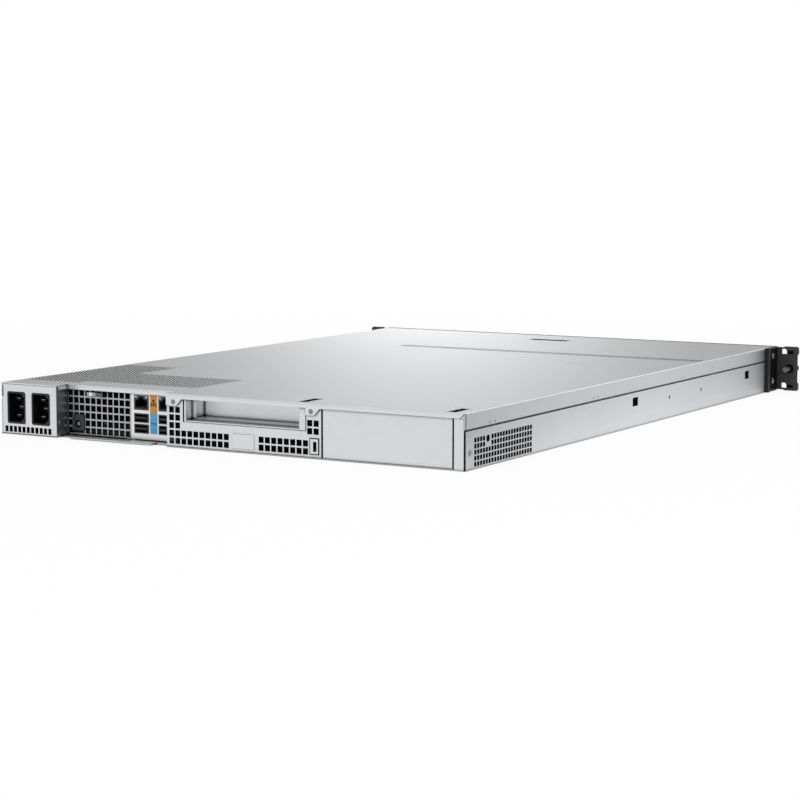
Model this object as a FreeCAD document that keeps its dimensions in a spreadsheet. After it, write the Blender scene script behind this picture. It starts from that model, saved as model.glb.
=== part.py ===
import FreeCAD, Part
# 1U rack server: a 19 inch steel case with its cover, power supply, board, fans and three drive bays.
#
# Frame: millimetres, +X to the right seen from the front, -Y out of the front, +Z up. The origin lies
# under the middle of the whole server, on the surface that the case stands on.
import math
import os
import re
import Sketcher
from FreeCAD import Rotation, Vector

SIZES = {
    # case, all of folded steel sheet
    "body_width": 437.0,        # over the side walls
    "body_height": 43.0,        # floor to the cover's top face
    "body_length": 637.3,       # rear plane to the cover's front edge
    "sheet": 1.0,               # steel sheet
    "fit": 0.3,                 # gap round what comes apart
    "cover_flange": 12.0,       # how far the cover's sides fold down
    "cover_joint": 1.6,         # open joint under the cover's sides
    "cover_lip": 4.0,           # how far the cover's rear edge folds down
    "wall_step": 1.4,           # how far the walls step in behind the cover's sides
    "rail_width": 9.0,          # folded top edge of the walls, which carries the cover
    "return_width": 9.5,        # rear edge of the walls, folded in
    # rack mounting ears
    "rack_width": 482.6,        # over both ears
    "rack_holes": 465.1,        # between the two thumbscrews
    "flange_offset": 5.0,       # ear flange ahead of the cover's front edge
    "front_reach": 8.0,         # levers and knobs ahead of the ear flange's rear face
    "ear_plate": 3.0,
    "ear_side": 1.6,
    "ear_length": 28.2,
    "thumb_thread": 2.5,        # radius of the thumbscrew's thread
    "thumb_neck": 2.0,          # radius of its neck through the ear
    "screw_hole": 1.6,          # radius of the clearance hole for the case screws
    "rivet_head": 0.4,          # how far a rivet's head stands out
    # rear, from the power supply to the far wall
    "supply_width": 56.0,
    "supply_length": 300.0,
    "recess_depth": 15.0,       # the port field stands back from the rear plane
    "grille_width": 64.8,
    "ports_width": 45.2,
    "cage_width": 144.5,
    "cage_depth": 120.0,
    "panel_joint": 1.1,
    "vent_hole": 4.6,
    "vent_height": 4.8,
    "vent_pitch": 5.8,
    "vent_rise": 6.2,
    "slot_width": 106.0,
    "slot_base": 22.3,
    "slot_depth": 22.0,
    "inlet_width": 19.2,
    "inlet_height": 26.7,
    "side_hole": 3.5,
    "side_pitch": 4.58,
    "side_rise": 4.52,
    "perforation": 2.6,
    "perforation_pitch": 3.85,
    # board
    "board_width": 305.0,
    "board_length": 325.0,
    "board_thickness": 1.6,
    "standoff": 3.0,
    "cooler_size": 78.0,
    "cooler_room": 4.0,         # air over the coolers
    "memory_length": 133.4,
    "memory_pitch": 10.4,
    "memory_height": 30.0,
    # fans
    "fan_depth": 28.0,
    "fan_spacing": 62.0,
    "blade_gap": 0.8,           # between blade tips and the frame's bore
    "spindle": 1.5,
    "spindle_gap": 0.05,
    # drive bays
    "bay_pitch": 105.7,
    "bay_margin": 4.5,
    "bay_gap": 0.55,            # between a carrier and the cage
    "drive_width": 101.6,
    "drive_height": 26.1,
    "drive_length": 147.0,
    "lever_height": 9.0,
    "lever_thickness": 3.4,
    "pin_radius": 1.0,
    "pin_gap": 0.06,
}
BAYS = 3
FANS = 5
MEMORY_SLOTS = 8

doc = FreeCAD.newDocument("rack_server")
sheet = doc.addObject("Spreadsheet::Sheet", "Sizes")
for row, (name, number) in enumerate(SIZES.items(), start=1):
    sheet.set(f"A{row}", name)
    sheet.set(f"B{row}", str(number))
    sheet.setAlias(f"B{row}", name)
doc.recompute()
sub_parts = []


# ---- expressions of the sheet's sizes ----

def bind(text):
    """The text with the sheet's name before each size, as an expression needs it."""
    return re.sub(r"[a-z][a-z_]*", lambda word: f"Sizes.{word.group()}" if word.group() in SIZES
                  else word.group(), text)


def size(name):
    """A size from the sheet as a number, for shapes that Part's functions make."""
    return float(sheet.get(name))


def add(*terms):
    """The terms added up, each in brackets."""
    return "(" + " + ".join(f"({term})" for term in terms) + ")"


def less(first, *others):
    """The first term less the others."""
    return "(" + " - ".join(f"({term})" for term in (first, *others)) + ")"


def minus(term):
    return f"(0 - ({term}))"


def on_side(side, inner, outer):
    """A stretch of X given outwards from the middle, on the right (1) or the left (-1)."""
    return (inner, outer) if side > 0 else (minus(outer), minus(inner))


def about(middle, length):
    """A stretch of the given length about its middle."""
    return less(middle, f"({length}) / 2"), add(middle, f"({length}) / 2")


def from_rear(distance):
    """Y of a place that lies this far in from the rear plane."""
    return less(REAR, distance)


def from_front(distance):
    """Y of a place that lies this far behind the cover's front edge."""
    return add(less(REAR, "body_length"), distance)


REAR = "((body_length + flange_offset + front_reach - rivet_head) / 2)"
EDGE = "(body_width / 2)"
WALL = less(EDGE, "sheet")
LID = less("body_height", "sheet")
UNDER = less(LID, "fit")
SHOULDER = less("body_height", "cover_flange", "cover_joint")
SUPPLY_OUT = less(WALL, "fit")
SUPPLY_IN = less(SUPPLY_OUT, "supply_width")
PORTS = less(SUPPLY_IN, "grille_width")
CAGE = less(PORTS, "ports_width")
BLANK = less(CAGE, "cage_width")
SKIN = add("sheet", "fit")
RECESS = "recess_depth"
BOARD_LOW = add("sheet", "standoff")
BOARD_TOP = add(BOARD_LOW, "board_thickness")
BAY_LEFT = add(minus(WALL), "bay_margin")
BAY_RIGHT = add(BAY_LEFT, f"{BAYS} * bay_pitch")
TRAY_LOW = add("sheet", "fit")
DRIVE_LOW = add(TRAY_LOW, "sheet")
BAY_TOP = add(DRIVE_LOW, "drive_height", "sheet")
TURNS = {"x": Rotation(Vector(0, 1, 0), 90), "y": Rotation(Vector(1, 0, 0), -90), "z": Rotation()}
PLANE_DEPTH = "157"
FAN_FRONT = "200"
EAR_BACK = less("ear_length", "flange_offset")
EAR_SCREWS = tuple((less("body_length", "9.5"), height) for height in ("10.5", "34.4"))
SIDE_HOLES = (("379.3", "18.4"), ("452.3", "18.4"))
FLANGE = less(REAR, "body_length", "flange_offset")
MIDDLE = "(body_height / 2)"
JACK = ((less(SUPPLY_IN, "17.4"), less(SUPPLY_IN, "5.1")), add(BOARD_TOP, "12.9"))
STACKS = (less(PORTS, "3.2"), less(PORTS, "27.4"))
STACK_WIDTH = "14"
LAN_OPENING = ("26.2", "37.6")
USB_OPENINGS = (("7.2", "14.2"), ("15.9", "22.9"))
SLOT_LEFT = less(CAGE, "18.4")
SLOT_RIGHT = less(SLOT_LEFT, "slot_width")
SLOT_TOP = less("body_height", "cover_lip", "0.3")
FAN_LOW = add("sheet", "sheet", "0.2")
FAN_TOP = less(UNDER, "0.4")
FAN_MIDDLE = f"(({FAN_LOW} + {FAN_TOP}) / 2)"
FAN_BORE = less(f"(({FAN_TOP} - {FAN_LOW}) / 2)", "1.2")
HUB = "8.5"
BOARD_RIGHT = less(SUPPLY_IN, "3")
BOARD_LEFT = less(BOARD_RIGHT, "board_width")
BOARD_REAR = from_rear("recess_depth + 2")
BOARD_FRONT = less(BOARD_REAR, "board_length")
BOARD_HOLES = tuple((across, along)
                    for across in (add(BOARD_LEFT, "8"), less(BOARD_RIGHT, "44"), less(BOARD_RIGHT, "4"))
                    for along in (add(BOARD_FRONT, "8"), less(BOARD_REAR, "150"), less(BOARD_REAR, "40")))
COOLERS = (less(BOARD_RIGHT, "62"), less(BOARD_RIGHT, "150"))
COOLER_ALONG = less(BOARD_REAR, "200")
MEMORY_LEFT = add(BOARD_LEFT, "14")
MEMORY_FRONT = less(BOARD_REAR, "300")
USB_ACROSS = less(WALL, "30")
BUTTONS = {"power_button": (less(WALL, "12"), "12", "4.5"),
           "id_button": (less(WALL, "12"), "25", "2.5")}


# ---- Part primitives and booleans ----

def block(across, along, up):
    """A box between two expressions on each axis."""
    made = doc.addObject("Part::Box", "Block")
    for edge, (low, high) in zip(("Length", "Width", "Height"), (across, along, up)):
        made.setExpression(edge, bind(less(high, low)))
    for axis, (low, high) in zip("xyz", (across, along, up)):
        made.setExpression(f"Placement.Base.{axis}", bind(low))
    return made


def rounded(across, along, up, corner):
    """A box whose four edges along y are rounded."""
    inner_across = (add(across[0], corner), less(across[1], corner))
    inner_up = (add(up[0], corner), less(up[1], corner))
    corners = [rod("y", (x, along[0], z), corner, less(along[1], along[0]))
               for x in inner_across for z in inner_up]
    return joined(block(inner_across, along, up), block(across, along, inner_up), *corners)


def rod(axis, start, radius, length, tip=None):
    """A round bar along x, y or z from its start point, or a cone if it has a tip radius."""
    made = doc.addObject("Part::Cylinder" if tip is None else "Part::Cone", "Rod")
    made.Placement.Rotation = TURNS[axis]
    if tip is None:
        made.setExpression("Radius", bind(radius))
    else:
        made.setExpression("Radius1", bind(radius))
        made.setExpression("Radius2", bind(tip))
    made.setExpression("Height", bind(length))
    for way, place in zip("xyz", start):
        made.setExpression(f"Placement.Base.{way}", bind(place))
    return made


def joined(*pieces):
    if len(pieces) == 1:
        return pieces[0]
    made = doc.addObject("Part::MultiFuse", "Joined")
    made.Shapes = list(pieces)
    made.Refine = True
    return made


def cut(base, *tools):
    made = doc.addObject("Part::Cut", "Cut")
    made.Base = base
    made.Tool = joined(*tools)
    made.Refine = True
    return made


def group(*pieces):
    """Separate solids kept in one sub-part."""
    made = doc.addObject("Part::Compound", "Group")
    made.Links = list(pieces)
    return made


def keep(name, made):
    """Name a finished sub-part."""
    made.Label = name
    sub_parts.append(made)
    return made


def hole_grid(columns, rows, hole, pitch, depth, start, along="x", skip=()):
    """Square tools for a grid of vents: columns along x or y, rows downwards from the top one.

    hole and pitch are (across, up) names or numbers, start is the expression of the first tool's
    upper corner, and the tools run depth along the third axis.
    """
    wide, tall = (size(name) for name in hole)
    step, drop = (size(name) for name in pitch)
    tools = []
    for column in range(columns):
        for row in range(rows):
            if (column, row) in skip:
                continue
            corner = Vector(0, 0, -row * drop - tall)
            if along == "x":
                corner.x = -column * step - wide
                tools.append(Part.makeBox(wide, depth, tall, corner))
            else:
                corner.y = -column * step - wide
                tools.append(Part.makeBox(depth, wide, tall, corner))
    made = doc.addObject("Part::Feature", "Vents")
    made.Shape = Part.makeCompound(tools)
    for axis, place in zip("xyz", start):
        made.setExpression(f"Placement.Base.{axis}", bind(place))
    return made


# ---- PartDesign bodies ----

def body(name):
    made = doc.addObject("PartDesign::Body", name)
    made.Label = name
    sub_parts.append(made)
    return made


def sketch(part, role, offset="0"):
    """A sketch on one of the body's own origin planes, set off along the plane's normal."""
    drawing = part.newObject("Sketcher::SketchObject", "Sketch")
    support = next(item for item in part.Origin.OriginFeatures if item.Role == role)
    drawing.AttachmentSupport = [(support, "")]
    drawing.MapMode = "FlatFace"
    drawing.setExpression("AttachmentOffset.Base.z", bind(offset))
    return drawing


def fix(drawing, kind, element, point, expression):
    """Tie one point's distance from the sketch's origin to an expression."""
    index = drawing.addConstraint(Sketcher.Constraint(kind, -1, 1, element, point, 1.0))
    drawing.setExpression(f"Constraints[{index}]", bind(expression))


def polygon(drawing, corners):
    """A closed outline through corners that are pairs of expressions."""
    first = drawing.GeometryCount
    count = len(corners)
    rough = [Vector(math.cos(math.tau * step / count), math.sin(math.tau * step / count), 0)
             for step in range(count)]
    for step in range(count):
        drawing.addGeometry(Part.LineSegment(rough[step], rough[(step + 1) % count]), False)
    for step in range(count):
        drawing.addConstraint(
            Sketcher.Constraint("Coincident", first + step, 2, first + (step + 1) % count, 1))
    for step, (across, up) in enumerate(corners):
        fix(drawing, "DistanceX", first + step, 1, across)
        fix(drawing, "DistanceY", first + step, 1, up)


def rectangle(drawing, across, up):
    polygon(drawing, [(across[0], up[0]), (across[1], up[0]), (across[1], up[1]), (across[0], up[1])])


def circle(drawing, across, up, radius):
    index = drawing.addGeometry(Part.Circle(Vector(0, 0, 0), Vector(0, 0, 1), 1.0), False)
    fix(drawing, "DistanceX", index, 3, across)
    fix(drawing, "DistanceY", index, 3, up)
    bound = drawing.addConstraint(Sketcher.Constraint("Radius", index, 1.0))
    drawing.setExpression(f"Constraints[{bound}]", bind(radius))


def pad(part, drawing, length, reverse=False):
    made = part.newObject("PartDesign::Pad", "Pad")
    made.Profile = drawing
    made.setExpression("Length", bind(length))
    made.Reversed = reverse
    return made


# ---- case ----

def base_pan():
    """Floor sheet between the walls, hemmed where it shows under the ports."""
    floor = block((minus(WALL), WALL), (from_rear("body_length"), from_rear("0.5")), ("0", "sheet"))
    hem_left = add(CAGE, "15")
    hem_right = less(SUPPLY_IN, "14")
    hem = block((hem_left, hem_right), (from_rear("9"), REAR), ("0", "1.7"))
    notches = [block(stretch, (from_rear("6"), add(REAR, "1")), ("-1", "3"))
               for stretch in ((CAGE, hem_left), (hem_right, SUPPLY_IN))]
    keep("base_pan", cut(joined(floor, hem), *notches))


def side_wall(side, name):
    """Side wall: full height under the ear, then stepped in behind the cover's side and folded in on top.

    On the supply's side the step ends at the supply, whose own case stands there instead.
    """
    inner = less(EDGE, "wall_step", "sheet")
    step_end = from_rear(SKIN) if side < 0 else from_rear("supply_length + 2")
    stepped = (from_front(EAR_BACK), step_end)
    lower = block(on_side(side, WALL, EDGE), (from_front("0"), REAR), ("0", SHOULDER))
    front = block(on_side(side, WALL, EDGE), (from_front("0"), from_front(EAR_BACK)), ("0", UNDER))
    shelf = block(on_side(side, inner, EDGE), stepped, (less(SHOULDER, "sheet"), SHOULDER))
    upper = block(on_side(side, inner, less(EDGE, "wall_step")), stepped, (less(SHOULDER, "sheet"), UNDER))
    rail = block(on_side(side, less(EDGE, "wall_step", "rail_width"), less(EDGE, "wall_step")), stepped,
                 (less(UNDER, "sheet"), UNDER))
    pieces = [lower, front, shelf, upper, rail]
    through = on_side(side, WALL, EDGE)[0]
    holes = [block(on_side(side, less(WALL, "1"), add(EDGE, "1")),
                   (from_rear(f"{distance} + 11.4"), from_rear(distance)),
                   (less(SHOULDER, "11.6"), less(SHOULDER, "4.1"))) for distance in ("300.2", "560.1")]
    holes += [rod("x", (through, from_rear(distance), height), "screw_hole", "sheet")
              for distance, height in (*EAR_SCREWS, *SIDE_HOLES)]
    if side < 0:
        inward = less(EDGE, "return_width")
        rear = (from_rear("sheet"), REAR)
        lip_top = less("body_height", "cover_lip", "fit")
        pieces.append(block(on_side(side, inward, EDGE), rear, ("0", SHOULDER)))
        pieces.append(block(on_side(side, inward, less(EDGE, "wall_step")), rear, ("0", lip_top)))
        groove = block(on_side(side, less(WALL, "0.3"), add(WALL, "0.5")),
                       (from_rear("0.7"), add(REAR, "1")), ("-1", lip_top))
        beside = {(column, row) for column in (4, 5) for row in (0, 1)}
        vents = hole_grid(21, 5, ("side_hole", "side_hole"), ("side_pitch", "side_rise"), 4.0,
                          (minus(add(EDGE, "1.5")), from_rear("14"), "23.5"), "y", beside)
        port = rod("x", (minus(add(EDGE, "1")), from_rear("36"), "21"), "2.75", "4")
        holes += [groove, vents, port]
    keep(name, cut(joined(*pieces), *holes))


def rear_panel():
    """Vented panel behind the open recess, with a gap and two feet under it."""
    plane = (from_rear(add(RECESS, "sheet")), from_rear(RECESS))
    plate = block((PORTS, SUPPLY_IN), plane, ("2", UNDER))
    feet = [block(stretch, plane, ("sheet", "2"))
            for stretch in ((PORTS, add(PORTS, "5")), (less(SUPPLY_IN, "5"), SUPPLY_IN))]
    jack = {(column, row) for column in (1, 2) for row in (4, 5)}
    top = less("body_height", "cover_lip", "0.1")
    vents = hole_grid(11, 6, ("vent_hole", "vent_height"), ("vent_pitch", "vent_rise"), 4.0,
                      (less(SUPPLY_IN, "0.9"), from_rear(add(RECESS, "2")), top), skip=jack)
    across, up = JACK
    opening = block((less(across[0], "fit"), add(across[1], "fit")),
                    (from_rear(add(RECESS, "2")), from_rear("recess_depth - 1")),
                    (BOARD_TOP, add(up, "fit")))
    keep("rear_panel", cut(joined(plate, *feet), vents, opening))


def port_field():
    """Bright plate with an opening for each port, and the two port blocks behind it."""
    plane = (from_rear("recess_depth + 0.8"), from_rear(RECESS))
    plate = block((CAGE, PORTS), plane, ("2", UNDER))
    feet = [block(stretch, plane, ("sheet", "2"))
            for stretch in ((CAGE, add(CAGE, "4")), (less(PORTS, "4"), PORTS))]
    openings = []
    blocks = []
    for outer in STACKS:
        across = (less(outer, STACK_WIDTH), outer)
        noses = []
        for up in (LAN_OPENING, *USB_OPENINGS):
            openings.append(block((less(across[0], "0.2"), add(across[1], "0.2")),
                                  (from_rear("recess_depth + 2"), from_rear("recess_depth - 1")),
                                  (less(up[0], "0.2"), add(up[1], "0.2"))))
            noses.append(block(across, (from_rear("recess_depth + 2"), from_rear("recess_depth - 0.4")),
                               up))
        housing = block(across, (from_rear("recess_depth + 25"), from_rear("recess_depth + 1.2")),
                        (BOARD_TOP, "38.2"))
        mouth = from_rear("recess_depth - 1")
        bottom, top = LAN_OPENING
        plug = [block((add(across[0], "1.1"), less(across[1], "1.1")),
                      (from_rear("recess_depth + 14"), mouth), (add(bottom, "1.0"), add(bottom, "8"))),
                block((add(across[0], "4"), less(across[1], "4")),
                      (from_rear("recess_depth + 14"), mouth), (add(bottom, "7.9"), add(bottom, "9.2"))),
                block((add(across[0], "5.3"), less(across[1], "5.3")),
                      (from_rear("recess_depth + 14"), mouth), (add(bottom, "9.1"), add(bottom, "10.4")))]
        for low, high in USB_OPENINGS:
            for up in ((add(low, "0.7"), add(low, "2.7")), (add(low, "4.6"), less(high, "0.6"))):
                plug.append(block((add(across[0], "0.8"), less(across[1], "0.8")),
                                  (from_rear("recess_depth + 12"), mouth), up))
            plug.append(block((add(across[0], "0.8"), add(across[0], "1.6")),
                              (from_rear("recess_depth + 12"), mouth), (add(low, "0.7"), less(high, "0.6"))))
        blocks.append(cut(joined(housing, *noses), *plug))
    keep("io_shield", cut(joined(plate, *feet), *openings))
    keep("port_stacks", group(*blocks))


def round_jack():
    """Square socket with a round mouth, a thick centre pin and a small nub by its upper corner."""
    across, top = JACK
    middle = less(across[1], "6.15")
    height = add(BOARD_TOP, "5.3")
    face = from_rear("recess_depth - 0.8")
    shell = block(across, (from_rear("recess_depth + 9"), face), (BOARD_TOP, top))
    mouth = rod("y", (middle, from_rear("recess_depth + 6"), height), "3.2", "8")
    pin = rod("y", (middle, from_rear("recess_depth + 7"), height), "1.7", "7")
    nub = rod("y", (less(across[1], "2.2"), face, less(top, "2.2")), "1.0", "0.6")
    keep("round_jack", joined(cut(shell, mouth), pin, nub))


def rear_tab():
    """Bent steel tab on the vented panel, just under the cover's lip."""
    across = (less(SUPPLY_IN, "38.8"), less(SUPPLY_IN, "23.2"))
    top = less("body_height", "cover_lip", "0.6")
    face = from_rear(RECESS)
    foot = [block(stretch, (face, add(face, "3.4")), (less(top, "3.6"), less(top, "2.9")))
            for stretch in ((across[0], add(across[0], "4.4")), (less(across[1], "4.4"), across[1]))]
    bar = block(across, (add(face, "3.4"), add(face, "4.1")), (less(top, "3.6"), less(top, "0.6")))
    keep("rear_tab", joined(*foot, bar))


def riser_cage():
    """Rear plate of the expansion slot with two cheeks, vents, a lock slot and the slot's opening."""
    plane = (from_rear(add(SKIN, "sheet")), from_rear(SKIN))
    face = block((BLANK, CAGE), plane, ("sheet", UNDER))
    cheeks = [block(stretch, (from_rear("cage_depth"), plane[1]), (add(BOARD_TOP, "1"), UNDER))
              for stretch in ((BLANK, add(BLANK, "sheet")), (less(CAGE, "sheet"), CAGE))]
    raised = (plane[1], add(plane[1], "0.25"))
    label = block((add(BLANK, "61.6"), add(BLANK, "82.2")), raised, ("3.1", "14.9"))
    lock_across = (add(BLANK, "2.5"), add(BLANK, "10.4"))
    lock_rim = block(lock_across, (plane[1], add(plane[1], "0.5")), ("3.6", "15.7"))
    lock_slot = block((add(BLANK, "4.3"), add(BLANK, "7.3")),
                      (less(plane[0], "1"), REAR), ("5.7", "13.3"))
    first = less(CAGE, "2.3")
    through = from_rear("6")
    top = "32.6"
    rows_only = {(column, row) for column in range(2, 10) for row in range(3)}
    vents = [hole_grid(10, 5, ("vent_hole", "vent_height"), ("vent_pitch", "vent_rise"), 6.0,
                       (first, through, top), skip=rows_only),
             hole_grid(8, 2, ("vent_hole", "vent_height"), ("vent_pitch", "vent_rise"), 6.0,
                       (add(BLANK, "57.4"), through, less(top, "3 * vent_rise")))]
    latch_side = hole_grid(2, 2, ("vent_hole", "vent_height"), ("vent_pitch", "vent_rise"), 6.0,
                           (add(BLANK, "12.9"), through, "29.8"))
    opening = block((less(SLOT_RIGHT, "6.4"), add(SLOT_LEFT, "2.9")), (less(plane[0], "1"), REAR),
                    (less("slot_base", "1.3"), less("body_height", "cover_lip", "0.2")))
    keep("riser_cage", cut(joined(face, *cheeks, label, lock_rim), lock_slot, *vents, latch_side, opening))


def slot_frame():
    """Stepped sleeve round the expansion slot; its flange fills the cage's opening."""
    face = from_rear(SKIN)
    step = from_rear("10")
    deep = from_rear("slot_depth")
    roof = add(SLOT_TOP, "0.9")
    flange = block((less(SLOT_RIGHT, "5.6"), add(SLOT_LEFT, "1.6")), (less(face, "sheet"), face),
                   (less("slot_base", "0.9"), SLOT_TOP))
    outer = block((less(SLOT_RIGHT, "1"), add(SLOT_LEFT, "1")), (deep, less(face, "sheet")),
                  (less("slot_base", "1"), roof))
    mouth = block((SLOT_RIGHT, SLOT_LEFT), (step, add(face, "1")), ("slot_base", SLOT_TOP))
    throat = block((SLOT_RIGHT, less(SLOT_LEFT, "3.5")), (less(deep, "1"), add(step, "1")),
                   (add("slot_base", "1.5"), SLOT_TOP))
    seat = block((SLOT_RIGHT, SLOT_LEFT), (less(face, "2 * sheet"), less(face, "sheet")),
                 (less("slot_base", "5"), less("slot_base", "0.5")))
    keep("slot_frame", cut(joined(flange, outer, seat), mouth, throat))


def slot_blank():
    """Plain bracket that closes the slot's sleeve until a card is fitted."""
    part = body("slot_blank")
    drawing = sketch(part, "XZ_Plane", minus(from_rear("slot_depth")))
    rectangle(drawing, (less(SLOT_RIGHT, "1"), add(SLOT_LEFT, "1")),
              (less("slot_base", "1"), add(SLOT_TOP, "0.9")))
    pad(part, drawing, "sheet")
    rib = sketch(part, "XZ_Plane", minus(from_rear(add("slot_depth", "sheet"))))
    rectangle(rib, (less(SLOT_RIGHT, "1"), less(SLOT_LEFT, "4")), ("slot_base + 6", "slot_base + 8"))
    pad(part, rib, "2.5")


def rear_blank_panel():
    """Plain panel over the spare rear bay, folded in at both ends."""
    part = body("rear_blank_panel")
    left = add(minus(EDGE), "return_width", "1.7")
    right = less(BLANK, "panel_joint")
    outline = sketch(part, "XY_Plane", "sheet")
    front = from_rear(SKIN)
    back = less(front, "sheet")
    fold = less(front, "8")
    polygon(outline, [(left, front), (left, fold), (add(left, "sheet"), fold), (add(left, "sheet"), back),
                      (less(right, "sheet"), back), (less(right, "sheet"), fold), (right, fold),
                      (right, front)])
    pad(part, outline, less(UNDER, "sheet"))


# ---- cover ----

def top_cover():
    """Flat top of the cover: stepped at the recess, slotted, with two fields of fine perforations.

    Behind the ears it ends where the rounded folds of the cover's sides begin.
    """
    half = size("body_width") / 2
    thickness = size("sheet")
    rear = (size("body_length") + size("flange_offset") + size("front_reach") - size("rivet_head")) / 2
    front = rear - size("body_length")
    supply = half - thickness - size("fit") - size("supply_width")
    cage = supply - size("grille_width") - size("ports_width")
    step = rear - size("recess_depth") + thickness + size("fit")
    hole = size("perforation")
    pitch = size("perforation_pitch")

    def loop(corners):
        points = [Vector(x, y, 0) for x, y in corners]
        return Part.makePolygon([*points, points[0]])

    def perforated(left, right, low, high):
        """Square holes on an even pitch that fill the stretch."""
        columns = int((right - left - hole) / pitch) + 1
        rows = int((high - low - hole) / pitch) + 1
        return [(left + column * pitch, left + column * pitch + hole,
                 low + row * pitch, low + row * pitch + hole)
                for column in range(columns) for row in range(rows)]

    over_bays = -half + 5.5
    side_edge = half - 4.0
    over_ports = (supply - 28 * pitch, supply)
    field_front = rear - 112.0
    fine = perforated(*over_ports, field_front, rear - 42.0)
    fine += perforated(over_ports[1], side_edge, field_front - 15 * pitch, rear - 28.0)
    fine += perforated(over_bays, over_bays + BAYS * size("bay_pitch"), front + 167.0, front + 183.0)
    slots = [(-17.3, 22.7, front + 42.5, front + 51.5),
             (11.2 - half, 17.7 - half, rear - 27.0, rear - 5.5),
             (cage - 127.9, cage - 121.5, rear - 27.5, rear - 5.0)]

    # One band to each row of perforations, so that no face carries all of them.
    margin = (pitch - hole) / 2
    fold_start = front + size("ear_length") - size("flange_offset") + size("fit")
    edges = [front, fold_start]
    for low in sorted({round(opening[2], 4) for opening in fine}):
        for edge in (low - margin, low + hole + margin):
            if edge - edges[-1] > 0.01:
                edges.append(edge)
    bands = []
    for low, high in zip(edges, [*edges[1:], rear]):
        side = half if low < fold_start else half - thickness
        outline = [(side, high), (-side, high), (-side, low), (side, low)]
        if high == rear:
            outline[1:1] = [(supply, rear), (supply, step), (cage, step), (cage, rear)]
        holes = [loop([(x0, y0), (x0, y1), (x1, y1), (x1, y0)]) for x0, x1, y0, y1 in fine + slots
                 if low <= y0 and y1 <= high]
        bands.append(Part.Face([loop(outline), *holes]).extrude(Vector(0, 0, thickness)))
    made = doc.addObject("Part::Feature", "top_cover")
    made.Shape = bands[0].multiFuse(bands[1:]).Solids[0]
    made.setExpression("Placement.Base.z", bind(LID))
    keep("top_cover", made)


def cover_rails():
    """The cover's folded edges: both sides with their rounded folds, and the rear lip with two tabs."""
    up = (less("body_height", "cover_flange"), LID)
    along = (from_front(add(EAR_BACK, "fit")), REAR)
    sides = []
    for side in (1, -1):
        fold = doc.addObject("Part::Common", "Fold")
        fold.Base = rod("y", (on_side(side, WALL, WALL)[0], along[0], LID), "sheet", less(*along[::-1]))
        fold.Tool = block(on_side(side, WALL, EDGE), along, (LID, "body_height"))
        sides.append(joined(block(on_side(side, WALL, EDGE), along, up), fold))
    lip_up = (less("body_height", "cover_lip"), LID)
    rear = (from_rear("sheet"), REAR)
    lip = block((add(minus(WALL), "fit"), CAGE), rear, lip_up)
    recess_lip = block((CAGE, less(SUPPLY_IN, "fit")),
                       (from_rear("recess_depth - fit"), from_rear("recess_depth - fit - sheet")), lip_up)
    step_lip = block((less(SUPPLY_IN, add("fit", "sheet")), less(SUPPLY_IN, "fit")),
                     (from_rear("recess_depth - fit - sheet"), from_rear("2")), lip_up)
    keep("cover_rails", group(*sides, joined(lip, *lip_tabs(rear)), joined(recess_lip, step_lip)))


def lip_tabs(rear):
    """Two tabs with a slanted side that hang from the lip over the cage."""
    top = less("body_height", "cover_lip")
    low = less(top, "5.5")
    tabs = []
    for outer, wide in ((CAGE, "14.9"), (less(SLOT_RIGHT, "6.3"), "12.8")):
        tab = doc.addObject("PartDesign::Body", "Tab")
        drawing = sketch(tab, "XZ_Plane", minus(rear[1]))
        polygon(drawing, [(outer, top), (outer, low), (less(outer, f"{wide} - 5"), low),
                          (less(outer, wide), top)])
        pad(tab, drawing, "sheet")
        tabs.append(tab)
    return tabs


def cover_button():
    """Release button in the cover's slot, held in from below by a wider flange."""
    front = less(REAR, "body_length")
    part = body("cover_button")
    stem = sketch(part, "XY_Plane", less(LID, "fit"))
    rectangle(stem, ("-17.3 + fit", "22.7 - fit"), (add(front, "42.5 + fit"), add(front, "51.5 - fit")))
    pad(part, stem, "sheet")
    flange = sketch(part, "XY_Plane", less(LID, "fit + 1.5"))
    rectangle(flange, ("-19.2", "24.6"), (add(front, "40.5"), add(front, "53.5")))
    pad(part, flange, "1.5")


# ---- rack ears ----

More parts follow.
